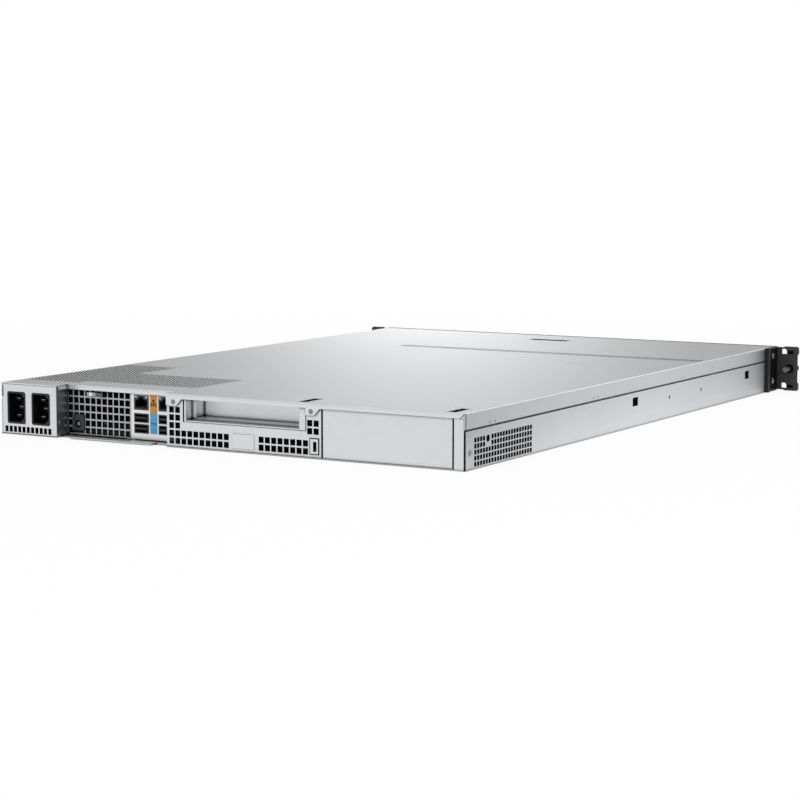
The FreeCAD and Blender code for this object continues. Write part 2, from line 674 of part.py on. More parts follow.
def ear(side, name):
    """Rack ear: a side plate with a rim, and a flange with two rack slots and the thumbscrew's hole.

    The flange's outer edge carries three rounded nubs, and a recess runs out from each rack slot.
    """
    outer = "rack_width / 2"
    edge = less(outer, "1.4")
    inner = add(EDGE, "8.5")
    plate = (less(FLANGE, "ear_plate"), FLANGE)
    flange = [block(on_side(side, EDGE, inner), plate, ("0.8", "body_height - 0.8")),
              block(on_side(side, inner, edge), plate, ("0", "body_height"))]
    nubs = [rounded(on_side(side, less(outer, "6"), outer), plate, up, "2.2")
            for up in (("0", "8.3"), about(add(MIDDLE, "0.8"), "5.6"), ("body_height - 8.3", "body_height"))]
    along = (FLANGE, add(FLANGE, "ear_length"))
    side_plate = block(on_side(side, EDGE, add(EDGE, "ear_side")), along, ("0", "body_height"))
    rim = block(on_side(side, EDGE, add(EDGE, "2 * ear_side")), (less(along[1], "5"), along[1]),
                ("0", "body_height"))
    slot_middle = "rack_holes / 2"
    middle = on_side(side, slot_middle, slot_middle)[0]
    holes = [rod("y", (middle, less(plate[0], "1"), MIDDLE), "thumb_neck + fit", "ear_plate + 2"),
             rod("y", (middle, less(FLANGE, "1.6"), MIDDLE), "4.4", "3")]
    for height in (less(MIDDLE, "16.6"), add(MIDDLE, "16.6")):
        holes.append(block(on_side(side, less(slot_middle, "8.6"), less(slot_middle, "3.6")),
                           (less(plate[0], "1"), add(FLANGE, "1")), about(height, "5")))
        holes.append(block(on_side(side, less(slot_middle, "3.7"), add(slot_middle, "3.9")),
                           (less(FLANGE, "2.2"), add(FLANGE, "1")), about(less(height, "0.7"), "3.2")))
    for back, height in EAR_SCREWS:
        holes.append(rod("x", (on_side(side, EDGE, add(EDGE, "ear_side"))[0], from_rear(back), height),
                         "screw_hole", "ear_side"))
    keep(name, cut(joined(*flange, *nubs, side_plate, rim), *holes))


def thumbscrew(side, name):
    """Captive thumbscrew: a low knob with a driver slot, a neck through the ear and a thread behind it."""
    middle = on_side(side, "rack_holes / 2", "rack_holes / 2")[0]
    knob = rod("y", (middle, less(FLANGE, "front_reach"), MIDDLE), "5.8",
               less("front_reach", "ear_plate", "0.2"))
    slot = block(about(middle, "1.4"), (less(FLANGE, "front_reach + 1"), less(FLANGE, "front_reach - 1.2")),
                 about(MIDDLE, "9"))
    neck = rod("y", (middle, less(FLANGE, "ear_plate + 1"), MIDDLE), "thumb_neck", "ear_plate + 3")
    thread = rod("y", (middle, add(FLANGE, "1.8"), MIDDLE), "thumb_thread", "10.2")
    keep(name, joined(cut(knob, slot), neck, thread))


def screw(axis, way, seat):
    """Pan head screw on its seat; way is the side that its head stands on."""
    place = dict(zip("xyz", seat))
    head = rod(axis, [place[a] if a != axis or way > 0 else less(place[a], "1.3") for a in "xyz"],
               "2.7", "1.3")
    shank = rod(axis, [place[a] if a != axis or way < 0 else less(place[a], "3.2") for a in "xyz"],
                "1.45", "3.2")
    return joined(head, shank)


def fasteners():
    """Pan head screws of the ears and the board, and the rivets of the rear sheets."""
    screws = []
    for side in (-1, 1):
        outside = on_side(side, add(EDGE, "ear_side"), add(EDGE, "ear_side"))[0]
        screws += [screw("x", side, (outside, from_rear(back), height)) for back, height in EAR_SCREWS]
    screws += [screw("z", 1, (across, along, BOARD_TOP)) for across, along in BOARD_HOLES]
    keep("case_screws", group(*screws))
    rivets = [rod("y", (across, REAR, "36.5"), "2.0", "rivet_head", "1.5")
              for across in (less(CAGE, "7.1"), less(SLOT_RIGHT, "11.3"))]
    keep("cover_rivets", group(*rivets))
    side_rivet = rod("x", (minus(EDGE), from_rear("7.3"), "13.1"), "2.4", "rivet_head", "1.8")
    side_rivet.Placement.Rotation = Rotation(Vector(0, 1, 0), -90)
    supply_rivet = rod("x", (SUPPLY_IN, from_rear("5"), "12"), "2.0", "rivet_head", "1.5")
    supply_rivet.Placement.Rotation = Rotation(Vector(0, 1, 0), -90)
    keep("rivets", group(side_rivet, supply_rivet))


# ---- power supply ----

def power_supply():
    """Steel case with two inlets in its rear face, a fan in its front face and a board inside."""
    across = (SUPPLY_IN, SUPPLY_OUT)
    along = (from_rear("supply_length"), REAR)
    up = ("sheet", UNDER)
    shell = block(across, along, up)
    room = block((add(across[0], "sheet"), less(across[1], "sheet")),
                 (add(along[0], "sheet"), less(along[1], "sheet")),
                 (add(up[0], "sheet"), less(up[1], "sheet")))
    inlets = []
    pins = []
    openings = []
    for outer in (less(SUPPLY_OUT, "4.9"), less(SUPPLY_OUT, "30.3")):
        sides = (less(outer, "inlet_width"), outer)
        height = ("9.1", "9.1 + inlet_height")
        openings.append(block(sides, (from_rear("2"), add(REAR, "1")), height))
        inlet = rounded((add(sides[0], "0.1"), less(sides[1], "0.1")), (from_rear("22"), REAR),
                        (add(height[0], "0.1"), less(height[1], "0.1")), "1.9")
        flange = block((less(sides[0], "1.6"), add(sides[1], "1.6")), (from_rear("3"), from_rear("sheet")),
                       (less(height[0], "1.6"), add(height[1], "1.6")))
        cavity = doc.addObject("PartDesign::Body", "Cavity")
        drawing = sketch(cavity, "XZ_Plane", minus(add(REAR, "1")))
        left, right = add(sides[0], "1.5"), less(sides[1], "1.5")
        low, high = add(height[0], "1.5"), less(height[1], "1.5")
        polygon(drawing, [(right, low), (right, high), (add(left, "3.6"), high), (left, less(high, "3.6")),
                          (left, add(low, "3.6")), (add(left, "3.6"), low)])
        pad(cavity, drawing, "17.5")
        inlets.append(cut(joined(inlet, flange), cavity))
        centre = less(outer, "inlet_width / 2")
        for rise, shift in (("7", "0"), ("0", "0 - 2.6"), ("0 - 7", "0")):
            pins.append(block(about(add(centre, shift), "4"), (from_rear("16.5"), from_rear("3.5")),
                              about(add("9.1 + inlet_height / 2", rise), "2")))
    slots = []
    for index in range(11):
        first = less(SUPPLY_OUT, f"2.4 + {index} * 4.5")
        slots.append(block((less(first, "3.2"), first), (from_rear("2"), add(REAR, "1")), ("2.1", "7.0")))
    middle = less(SUPPLY_OUT, "supply_width / 2")
    centre = (middle, less(along[0], "1"), FAN_MIDDLE)
    fan_hole = rod("y", centre, less(FAN_BORE, "0.6"), "4")
    keep("psu_case", cut(shell, room, *openings, *slots, fan_hole))
    keep("power_inlets", group(*inlets))
    keep("inlet_pins", group(*pins))
    board = block((add(across[0], "3"), less(across[1], "3")), (add(along[0], "34"), from_rear("26")),
                  ("4", "5.6"))
    feet = [block((add(across[0], place), add(across[0], f"{place} + 5")),
                  (from_rear(back), from_rear(f"{back} - 5")), (add(up[0], "sheet"), "4"))
            for place in ("6", "44") for back in ("250", "150", "40")]
    parts = [block((add(across[0], "8"), add(across[0], "34")), (from_rear("150"), from_rear("112")),
                   ("5.6", "33")),
             block((add(across[0], "7"), add(across[0], "11")), (from_rear("250"), from_rear("165")),
                   ("5.6", "34")),
             block((add(across[0], "38"), add(across[0], "48")), (from_rear("95"), from_rear("60")),
                   ("5.6", "28"))]
    parts += [rod("z", (add(across[0], across_place), from_rear(back), "5.6"), "7.5", "26")
              for across_place, back in (("20", "50"), ("20", "70"), ("32", "180"), ("32", "200"))]
    keep("psu_board", joined(board, *feet, *parts))
    place = (middle, add(along[0], "sheet"), add(up[0], "sheet"), less(up[1], "sheet"))
    keep("psu_fan_frame", fan_frame(*place))
    fan_rotor("psu_fan_rotor", *place)


# ---- fans ----

def fan_frame(middle, front, low, top):
    """Square frame with a round duct, a rear spider of four arms and a hub with the spindle's bore."""
    half = f"(({top} - {low}) / 2)"
    height = f"(({top} + {low}) / 2)"
    back = add(front, "fan_depth")
    frame = block((less(middle, half), add(middle, half)), (front, back), (low, top))
    duct = rod("y", (middle, less(front, "1"), height), less(half, "1.2"), "fan_depth + 2")
    hub = rod("y", (middle, less(back, "3"), height), HUB, "3")
    arms = [block(about(middle, "2 * fan_depth") if flat else about(middle, "2.2"),
                  (less(back, "2.4"), back),
                  about(height, "2.2") if flat else about(height, "2 * fan_depth"))
            for flat in (True, False)]
    outline = block((less(middle, half), add(middle, half)), (less(back, "3"), back), (low, top))
    spider = doc.addObject("Part::Common", "Spider")
    spider.Base = joined(hub, *arms)
    spider.Tool = outline
    bore = rod("y", (middle, less(back, "4"), height), "spindle + spindle_gap", "5")
    return cut(joined(cut(frame, duct), spider), bore)


def fan_rotor(name, middle, front, low, top):
    """Hub with seven raked blades and its spindle, which turns in the frame's bore."""
    height = f"(({top} + {low}) / 2)"
    reach = less(f"(({top} - {low}) / 2)", "1.2", "blade_gap")
    part = body(name)
    back = add(front, "fan_depth")
    hub = sketch(part, "XZ_Plane", minus(less(back, "3.6")))
    circle(hub, "0", "0", HUB)
    pad(part, hub, less("fan_depth", "5.2"))
    spindle = sketch(part, "XZ_Plane", minus(less(back, "0.4")))
    circle(spindle, "0", "0", "spindle")
    pad(part, spindle, "4")
    blade = sketch(part, "XY_Plane", "6")
    start = add(front, "3.5")
    end = less(back, "5.5")
    polygon(blade, [("0 - 5.5", start), ("0 - 4.1", start), ("5.5", end), ("4.1", end)])
    vane = pad(part, blade, less(reach, "6.4"))
    doc.recompute()
    ring = part.newObject("PartDesign::PolarPattern", "Blades")
    ring.Originals = [vane]
    ring.Axis = (hub, ["N_Axis"])
    ring.Angle = 360
    ring.Occurrences = 7
    part.Tip = ring
    part.setExpression("Placement.Base.x", bind(middle))
    part.setExpression("Placement.Base.z", bind(height))


def fan_row():
    """Five fans in a row behind the drives, screwed to one bracket with an opening for each."""
    front = from_front(FAN_FRONT)
    middles = [add(BAY_LEFT, f"34 + {index} * fan_spacing") for index in range(FANS)]
    plate_across = (minus(less(EDGE, "wall_step", "rail_width", "0.5")), add(middles[-1], "23"))
    plate = block(plate_across, (less(front, "sheet"), front), ("sheet", FAN_TOP))
    foot = block(plate_across, (less(front, "9"), front), ("sheet", "2 * sheet"))
    windows = [rod("y", (middle, less(front, "3"), FAN_MIDDLE), FAN_BORE, "6") for middle in middles]
    keep("fan_bracket", cut(joined(plate, foot), *windows))
    keep("fan_frames", group(*(fan_frame(middle, front, FAN_LOW, FAN_TOP) for middle in middles)))
    for number, middle in enumerate(middles, start=1):
        fan_rotor(f"fan_rotor_{number}", middle, front, FAN_LOW, FAN_TOP)


# ---- board ----

def mainboard():
    """Board with its screw holes, and the standoffs that carry it off the floor."""
    part = body("mainboard")
    outline = sketch(part, "XY_Plane", BOARD_LOW)
    rectangle(outline, (BOARD_LEFT, BOARD_RIGHT), (BOARD_FRONT, BOARD_REAR))
    for across, along in BOARD_HOLES:
        circle(outline, across, along, "1.6")
    pad(part, outline, "board_thickness")
    posts = [cut(rod("z", (across, along, "sheet"), "3.2", "standoff"),
                 rod("z", (across, along, "sheet"), "1.6", "standoff")) for across, along in BOARD_HOLES]
    keep("board_standoffs", group(*posts))


def cooler(middle):
    """Extruded aluminium cooler: a thick base and upright fins along the air's way."""
    made = doc.addObject("PartDesign::Body", "Cooler")
    base = sketch(made, "XY_Plane", add(BOARD_TOP, "5"))
    along = (less(COOLER_ALONG, "cooler_size / 2"), add(COOLER_ALONG, "cooler_size / 2"))
    rectangle(base, about(middle, "cooler_size"), along)
    pad(made, base, "4")
    fin = sketch(made, "XY_Plane", add(BOARD_TOP, "9"))
    left = less(middle, "cooler_size / 2")
    rectangle(fin, (left, add(left, "0.8")), along)
    blade = pad(made, fin, less(LID, "cooler_room", BOARD_TOP, "9"))
    doc.recompute()
    row = made.newObject("PartDesign::LinearPattern", "Fins")
    row.Originals = [blade]
    row.Direction = (base, ["H_Axis"])
    row.setExpression("Length", bind(less("cooler_size", "0.8")))
    row.Occurrences = 27
    made.Tip = row
    return made


def board_parts():
    """Processor sockets, their coolers, the memory row and its latches, and the riser card."""
    sockets = [block(about(middle, "52"), about(COOLER_ALONG, "56"), (BOARD_TOP, add(BOARD_TOP, "5")))
               for middle in COOLERS]
    keep("cpu_sockets", group(*sockets))
    keep("heatsinks", group(*(cooler(middle) for middle in COOLERS)))
    slots = []
    modules = []
    latches = {"front": [], "rear": []}
    back = add(MEMORY_FRONT, "memory_length")
    for index in range(MEMORY_SLOTS):
        middle = add(MEMORY_LEFT, f"{index} * memory_pitch")
        top = add(BOARD_TOP, "7.5")
        slot = block(about(middle, "6.4"), (add(MEMORY_FRONT, "0.2"), less(back, "0.2")), (BOARD_TOP, top))
        ends = [block(about(middle, "6.4"), stretch, (BOARD_TOP, add(BOARD_TOP, "2")))
                for stretch in ((less(MEMORY_FRONT, "7"), add(MEMORY_FRONT, "1")),
                                (less(back, "1"), add(back, "7")))]
        cheeks = [block(about(add(middle, shift), "1"), stretch, (BOARD_TOP, add(BOARD_TOP, "7")))
                  for shift in ("2.7", "0 - 2.7")
                  for stretch in ((less(MEMORY_FRONT, "6"), add(MEMORY_FRONT, "0.5")),
                                  (less(back, "0.5"), add(back, "6")))]
        groove = block(about(middle, "1.4"), (add(MEMORY_FRONT, "1"), less(back, "1")),
                       (add(BOARD_TOP, "2.5"), add(top, "1")))
        pivots = {"front": less(MEMORY_FRONT, "3.2"), "rear": add(back, "3.2")}
        bores = [rod("x", (less(middle, "4"), near, add(BOARD_TOP, "5")), "1.15", "8")
                 for near in pivots.values()]
        slots.append(cut(joined(slot, *ends, *cheeks), groove, *bores))
        modules.append(block(about(middle, "1.4"), (add(MEMORY_FRONT, "1"), less(back, "1")),
                             (add(BOARD_TOP, "2.5"), add(BOARD_TOP, "memory_height"))))
        for end, near in pivots.items():
            latches[end].append(joined(
                block(about(middle, "3.6"), about(near, "5"), (add(BOARD_TOP, "3.4"), add(BOARD_TOP, "16"))),
                rod("x", (less(middle, "3.1"), near, add(BOARD_TOP, "5")), "1.1", "6.2")))
    keep("memory_slots", group(*slots))
    keep("memory_modules", group(*modules))
    keep("memory_latches_front", group(*latches["front"]))
    keep("memory_latches_rear", group(*latches["rear"]))
    riser = less(SLOT_LEFT, "22")
    card = block(about(riser, "1.6"), (from_rear("115"), from_rear("50")), (add(BOARD_TOP, "8"), "38"))
    edge = block(about(riser, "7.5"), (from_rear("110"), from_rear("55")), (BOARD_TOP, add(BOARD_TOP, "8")))
    outlet = block((less(riser, "11.8"), less(riser, "0.8")), (from_rear("112"), from_rear("60")),
                   (add(BOARD_TOP, "15"), add(BOARD_TOP, "22")))
    keep("riser_card", joined(card, edge, outlet))


# ---- front ----

def drive_cage():
    """Four upright dividers and a roof that make the three drive bays."""
    along = (less(REAR, "body_length"), from_front(PLANE_DEPTH))
    dividers = [block(about(add(BAY_LEFT, f"{index} * bay_pitch"), "sheet"), along, ("sheet", BAY_TOP))
                for index in range(BAYS + 1)]
    roof = block((less(BAY_LEFT, "sheet / 2"), add(BAY_RIGHT, "sheet / 2")), along,
                 (BAY_TOP, add(BAY_TOP, "sheet")))
    keep("drive_cage", joined(roof, *dividers))


def backplane():
    """Board behind the bays with a connector for each drive and openings for the air."""
    along = (from_front(PLANE_DEPTH), from_front(f"{PLANE_DEPTH} + 1.6"))
    plate = block((less(BAY_LEFT, "sheet / 2"), add(BAY_RIGHT, "sheet / 2")), along, ("sheet", "38"))
    windows = []
    sockets = []
    for index in range(BAYS):
        middle = add(BAY_LEFT, f"({index} + 0.5) * bay_pitch")
        sockets.append(block((less(middle, "40"), less(middle, "5")),
                             (from_front(f"{PLANE_DEPTH} - 6"), along[0]), ("8", "14")))
        windows += [block(about(add(middle, shift), "36"), (less(along[0], "1"), add(along[1], "1")),
                          ("20", "28")) for shift in ("21", "0 - 21")]
        windows.append(block(about(middle, "80"), (less(along[0], "1"), add(along[1], "1")),
                             (add(BAY_TOP, "2"), "36")))
    keep("backplane", joined(cut(plate, *windows), *sockets))


def carrier(number):
    """Drive tray with its vented bezel, the lever on it, and the drive between its rails."""
    middle = add(BAY_LEFT, f"({number} - 0.5) * bay_pitch")
    half = less("bay_pitch / 2", "sheet / 2", "bay_gap")
    face = less(add(FLANGE, "lever_thickness + 0.6"), "front_reach")
    back = from_front("0.5")
    bezel = block((less(middle, half), add(middle, half)), (face, back), (TRAY_LOW, less(BAY_TOP, "fit")))
    rail_back = from_front(less(PLANE_DEPTH, "8"))
    floor = block((less(middle, half), add(middle, half)), (back, rail_back), (TRAY_LOW, DRIVE_LOW))
    rails = [block(stretch, (back, rail_back), (TRAY_LOW, add(TRAY_LOW, "20")))
             for stretch in ((less(middle, half), less(middle, "drive_width / 2")),
                             (add(middle, "drive_width / 2"), add(middle, half)))]
    lever_low = less(BAY_TOP, "fit", "3", "lever_height")
    lever_top = add(lever_low, "lever_height")
    hinge = (less(add(middle, "7"), half), less(face, "lever_thickness / 2", "0.6"))
    cheek = (less(hinge[0], "4"), add(hinge[0], "4"))
    cheeks = [block(cheek, (less(hinge[1], "lever_thickness / 2 - 0.2"), face), up)
              for up in ((less(lever_low, "2.2"), less(lever_low, "0.2")),
                         (add(lever_top, "0.2"), add(lever_top, "2.2")))]
    pocket = block((less(hinge[0], "5"), add(hinge[0], "6")), (less(face, "1"), add(face, "2.5")),
                   (less(lever_low, "0.2"), add(lever_top, "0.2")))
    bore = rod("z", (*hinge, less(lever_low, "4")), "pin_radius + pin_gap", "lever_height + 8")
    vents = []
    for column in range(14):
        left = add(less(middle, half), f"6 + {column} * 6.6")
        vents.append(block((left, add(left, "4.8")), (less(face, "1"), add(back, "1")),
                           (add(TRAY_LOW, "3"), less(lever_low, "3"))))
    finger = block((add(middle, less(half, "16")), add(middle, less(half, "3"))),
                   (less(face, "1"), add(face, "3.5")), (less(lever_low, "0.5"), add(lever_top, "0.5")))
    keep(f"carrier_{number}", cut(joined(cut(bezel, pocket, finger, *vents), floor, *rails, *cheeks), bore))
    drive = block(about(middle, "drive_width"), (from_front("2"), from_front("2 + drive_length")),
                  (DRIVE_LOW, add(DRIVE_LOW, "drive_height")))
    notch = block(about(middle, "drive_width + 2"), (from_front("drive_length - 4"),
                                                     from_front("drive_length + 4")),
                  (less(DRIVE_LOW, "1"), add(DRIVE_LOW, "6")))
    keep(f"drive_{number}", cut(drive, notch))
    part = body(f"lever_{number}")
    drawing = sketch(part, "XY_Plane", lever_low)
    tip = add(middle, less(half, "4"))
    front = less(hinge[1], "lever_thickness / 2")
    rear = add(hinge[1], "lever_thickness / 2")
    left = less(hinge[0], "2.4")
    polygon(drawing, [(left, front), (tip, front), (tip, less(rear, "1.2")), (less(tip, "10"), rear),
                      (left, rear)])
    pad(part, drawing, "lever_height")
    pin = sketch(part, "XY_Plane", less(lever_low, "2.2"))
    circle(pin, *hinge, "pin_radius")
    pad(part, pin, "lever_height + 4.4")


def front_panel():
    """Black front moulding: bay openings, a vent strip over them and the control field."""
    plate_back = less(REAR, "body_length")
    plane = (less(FLANGE, "1.5"), plate_back)
    plate = block((minus(EDGE), EDGE), plane, ("0", "body_height"))
    through = (less(plane[0], "1"), add(plane[1], "1"))
    openings = []
    for index in range(BAYS):
        left = add(BAY_LEFT, f"{index} * bay_pitch")
        openings.append(block((add(left, "sheet / 2"), less(add(left, "bay_pitch"), "sheet / 2")), through,
                              ("sheet", BAY_TOP)))
    for column in range(38):
        left = add(BAY_LEFT, f"4 + {column} * 8.2")
        openings.append(block((left, add(left, "6")), through, (add(BAY_TOP, "3"), less(LID, "2.5"))))
    for column in range(11):
        left = add(BAY_RIGHT, f"6 + {column} * 5.2")
        openings.append(block((left, add(left, "3.8")), through, ("4", less(LID, "3"))))
    for across, up, wide, tall in ((USB_ACROSS, "10", "14", "6.4"), (USB_ACROSS, "20", "14", "6.4")):
        openings.append(block(about(across, wide), through, about(up, tall)))
    for across, up, radius in BUTTONS.values():
        openings.append(rod("y", (across, less(plane[0], "1"), up), add(radius, "0.35"), "9"))
    keep("front_panel", cut(plate, *openings))
    for name, (across, up, radius) in BUTTONS.items():
        part = body(name)
        face = less(plane[0], "0.6")
        drawing = sketch(part, "XZ_Plane", minus(add(plane[1], "4")))
        circle(drawing, across, up, radius)
        pad(part, drawing, less(add(plane[1], "4"), face))
        rim = sketch(part, "XZ_Plane", minus(add(plane[1], "2.5")))
        circle(rim, across, up, add(radius, "1.2"))
        pad(part, rim, "2.2")
    board = block((add(BAY_RIGHT, "68"), less(WALL, "4")), (add(plate_back, "6"), add(plate_back, "7.6")),
                  ("sheet", "38"))
    ports = []
    for up in ("10", "20"):
        shell = block(about(USB_ACROSS, "13.4"), (add(plane[0], "0.6"), add(plate_back, "6")),
                      about(up, "5.8"))
        mouths = [block(about(USB_ACROSS, "12"), (less(plane[0], "1"), add(plate_back, "3")), stretch)
                  for stretch in ((less(up, "2.3"), less(up, "0.6")), (add(up, "1.3"), add(up, "2.3")))]
        mouths.append(block((less(USB_ACROSS, "6"), less(USB_ACROSS, "5.2")),
                            (less(plane[0], "1"), add(plate_back, "3")), (less(up, "2.3"), add(up, "2.3"))))
        ports.append(cut(shell, *mouths))
    switches = [block(about(across, "6"), (add(plate_back, "5.4"), add(plate_back, "6")), about(up, "6"))
                for across, up, _ in BUTTONS.values()]
    keep("control_board", joined(board, *ports, *switches))


def lead(start, runs, radius, bend):
    """Round cable of straight runs along the axes, joined by tangent quarter bends.

    Each run is its axis, its sense and its length as far as the next corner.
    """
    pieces = []
    place = dict(zip("xyz", start))
    for number, (axis, way, length) in enumerate(runs):
        first = bend if number else "0"
        last = bend if number < len(runs) - 1 else "0"
        corner = add(place[axis], f"({way}) * ({length})")
        near = add(place[axis], f"({way}) * ({first})")
        far = less(corner, f"({way}) * ({last})")
        begin = {**place, axis: near if way > 0 else far}
        pieces.append(rod(axis, begin.values(), radius, less(length, first, last)))
        place[axis] = corner
        if number < len(runs) - 1:
            turn, turn_way, _ = runs[number + 1]
            centre = {**place, axis: far, turn: add(place[turn], f"({turn_way}) * ({bend})")}
            before = Vector(*(way if name == axis else 0 for name in "xyz"))
            after = Vector(*(turn_way if name == turn else 0 for name in "xyz"))
            elbow = doc.addObject("Part::Torus", "Elbow")
            elbow.Placement.Rotation = Rotation(-after, before, before.cross(after), "ZXY")
            elbow.Angle3 = 90
            elbow.setExpression("Radius1", bind(bend))
            elbow.setExpression("Radius2", bind(radius))
            for name, where in centre.items():
                elbow.setExpression(f"Placement.Base.{name}", bind(where))
            pieces.append(elbow)
    return joined(*pieces)


def cables():
    """Three held leads: supply to board, backplane to board, and control board to board."""
    made = []
    plug_top = add(BOARD_TOP, "10")
    power = less(BOARD_RIGHT, "30")
    power_y = add(BOARD_FRONT, "10")
    exit_x = add(SUPPLY_IN, "5")
    supply_front = from_rear("supply_length")
    made.append(joined(
        block(about(power, "18"), about(power_y, "10"), (BOARD_TOP, plug_top)),
        lead((exit_x, supply_front, "34"),
             [("y", -1, less(supply_front, power_y)), ("x", -1, less(exit_x, power)),
              ("z", -1, less("34.5", plug_top))], "2.4", "13")))
    data = less(BAY_RIGHT, "6")
    plane_back = from_front(f"{PLANE_DEPTH} + 1.6")
    data_y = add(BOARD_FRONT, "14")
    made.append(joined(
        block(about(data, "12"), about(data_y, "8"), (BOARD_TOP, plug_top)),
        lead((data, plane_back, "34"),
             [("y", 1, less(data_y, plane_back)), ("z", -1, less("34.5", plug_top))], "2.4", "13")))
    panel = add(BAY_RIGHT, "82")
    panel_back = add(less(REAR, "body_length"), "7.6")
    board_x = less(BOARD_RIGHT, "12.5")
    board_y = add(BOARD_FRONT, "6")
    made.append(joined(
        block(about(board_x, "9"), about(board_y, "8"), (BOARD_TOP, less(plug_top, "4"))),
        block(about(panel, "9"), (panel_back, add(panel_back, "5")), about("24", "8")),
        lead((panel, add(panel_back, "4"), "24"),
             [("y", 1, less(board_y, add(panel_back, "4"))), ("x", -1, less(panel, board_x)),
              ("z", -1, less("24.5", less(plug_top, "4")))], "1.6", "10")))
    keep("internal_cables", group(*made))


# ---- build ----

base_pan()
side_wall(-1, "side_wall_left")
side_wall(1, "side_wall_right")
rear_panel()
port_field()
round_jack()
rear_tab()
riser_cage()
slot_frame()
slot_blank()
rear_blank_panel()
top_cover()
cover_rails()
cover_button()
ear(-1, "ear_left")
ear(1, "ear_right")
thumbscrew(-1, "thumbscrew_left")
thumbscrew(1, "thumbscrew_right")
fasteners()
power_supply()
fan_row()
mainboard()
board_parts()
drive_cage()
backplane()
for bay in range(1, BAYS + 1):
    carrier(bay)
front_panel()
cables()

doc.recompute()
for item in doc.Objects:
    if "Invalid" in item.State or "Error" in item.State:
        raise RuntimeError(f"{item.Label} did not recompute")
os.makedirs("parts", exist_ok=True)
for item in sub_parts:
    if item.Shape.isNull() or not item.Shape.isValid():
        raise RuntimeError(f"{item.Label} has no valid shape")
    item.Shape.exportStep(f"parts/{item.Label}.step")
print(len(sub_parts), "sub-parts")
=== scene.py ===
"""Rack server: finishes, fine details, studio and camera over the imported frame."""

import math

import bmesh
import bpy
from mathutils import Matrix, Quaternion, Vector


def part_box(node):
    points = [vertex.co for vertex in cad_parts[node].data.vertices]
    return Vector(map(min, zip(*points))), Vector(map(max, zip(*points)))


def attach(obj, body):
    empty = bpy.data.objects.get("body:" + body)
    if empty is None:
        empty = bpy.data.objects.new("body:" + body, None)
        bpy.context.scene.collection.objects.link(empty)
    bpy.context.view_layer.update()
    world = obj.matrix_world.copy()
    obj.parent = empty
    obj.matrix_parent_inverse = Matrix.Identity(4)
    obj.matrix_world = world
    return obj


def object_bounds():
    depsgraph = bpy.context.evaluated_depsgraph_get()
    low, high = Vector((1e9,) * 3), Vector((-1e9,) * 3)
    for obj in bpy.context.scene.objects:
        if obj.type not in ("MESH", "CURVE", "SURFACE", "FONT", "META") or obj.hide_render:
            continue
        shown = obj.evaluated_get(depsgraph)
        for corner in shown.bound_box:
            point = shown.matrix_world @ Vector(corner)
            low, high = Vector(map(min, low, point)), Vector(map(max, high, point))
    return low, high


bl_info = {
    "name": "Rack Server Parts",
    "version": (1, 0, 0),
    "blender": (4, 5, 0),
    "location": "View3D > Sidebar > Rack Server",
    "description": "Finishes and fine details of a one-unit rack server",
    "category": "Add Mesh",
}

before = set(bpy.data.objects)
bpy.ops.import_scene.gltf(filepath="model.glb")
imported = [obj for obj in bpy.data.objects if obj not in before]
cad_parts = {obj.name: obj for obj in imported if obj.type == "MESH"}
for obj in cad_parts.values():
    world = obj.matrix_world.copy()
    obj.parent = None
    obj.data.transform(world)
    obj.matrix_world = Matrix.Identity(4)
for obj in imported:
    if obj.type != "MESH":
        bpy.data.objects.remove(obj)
CAD_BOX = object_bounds()
MM = 0.001
REAR_RIVET = 0.4 * MM
REAR = CAD_BOX[1][1] - REAR_RIVET
TOP = CAD_BOX[1][2]
CASE_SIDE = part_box("cover_rails")[0][0]
PORT_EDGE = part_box("io_shield")[1][0] / MM
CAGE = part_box("riser_cage")
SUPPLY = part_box("psu_case")


# ---- settings that a user would change ----

def linear(value):
    """sRGB hex to the linear numbers that shaders and lamps use."""
    parts = [int(value[place:place + 2], 16) / 255 for place in (1, 3, 5)]
    return tuple(part / 12.92 if part <= 0.04045 else ((part + 0.055) / 1.055) ** 2.4 for part in parts)


def colour_setting(label, text, value):
    """A colour property whose default is an sRGB hex value."""
    return bpy.props.FloatVectorProperty(name=label, description=text, subtype="COLOR", size=3,
                                         min=0.0, max=1.0, default=linear(value))


class RackFinishSettings(bpy.types.PropertyGroup):
    zinc: colour_setting("Zinc sheet", "Zinc-coated steel of the case", "#E2E5E7")
    nickel: colour_setting("Nickel plate", "Bright plate round the ports", "#E9EAEA")
    coat: colour_setting("Powder coat", "Black coat of the ears", "#333335")
    upper_label: colour_setting("Network label", "Printed strip beside the network ports", "#C98F3C")
    lower_label: colour_setting("Serial bus label", "Printed strip beside the lower ports", "#55A6D8")
    laminate: colour_setting("Circuit board", "Solder mask of the boards", "#0D2B1D")


class RackSizeSettings(bpy.types.PropertyGroup):
    edge: bpy.props.FloatProperty(name="Edge rounding", description="Radius of the folded edges",
                                  default=0.7 * MM, min=0.1 * MM, max=2 * MM, unit="LENGTH")
    contact: bpy.props.FloatProperty(name="Contact width", description="Width of a network contact",
                                     default=0.5 * MM, min=0.2 * MM, max=0.8 * MM, unit="LENGTH")


# ---- mesh helpers ----

def add_block(mesh, low, high, edge=0.0, segments=2):
    """A box between two corners, with rounded edges where edge is given."""
    made = bmesh.ops.create_cube(mesh, size=1.0)["verts"]
    low, high = Vector(low), Vector(high)
    bmesh.ops.scale(mesh, vec=high - low, verts=made)
    bmesh.ops.translate(mesh, vec=(low + high) / 2, verts=made)
    if edge:
        lines = list({line for vert in made for line in vert.link_edges})
        bmesh.ops.bevel(mesh, geom=lines, offset=edge, segments=segments, profile=0.5,
                        affect="EDGES", material=-1, clamp_overlap=True)


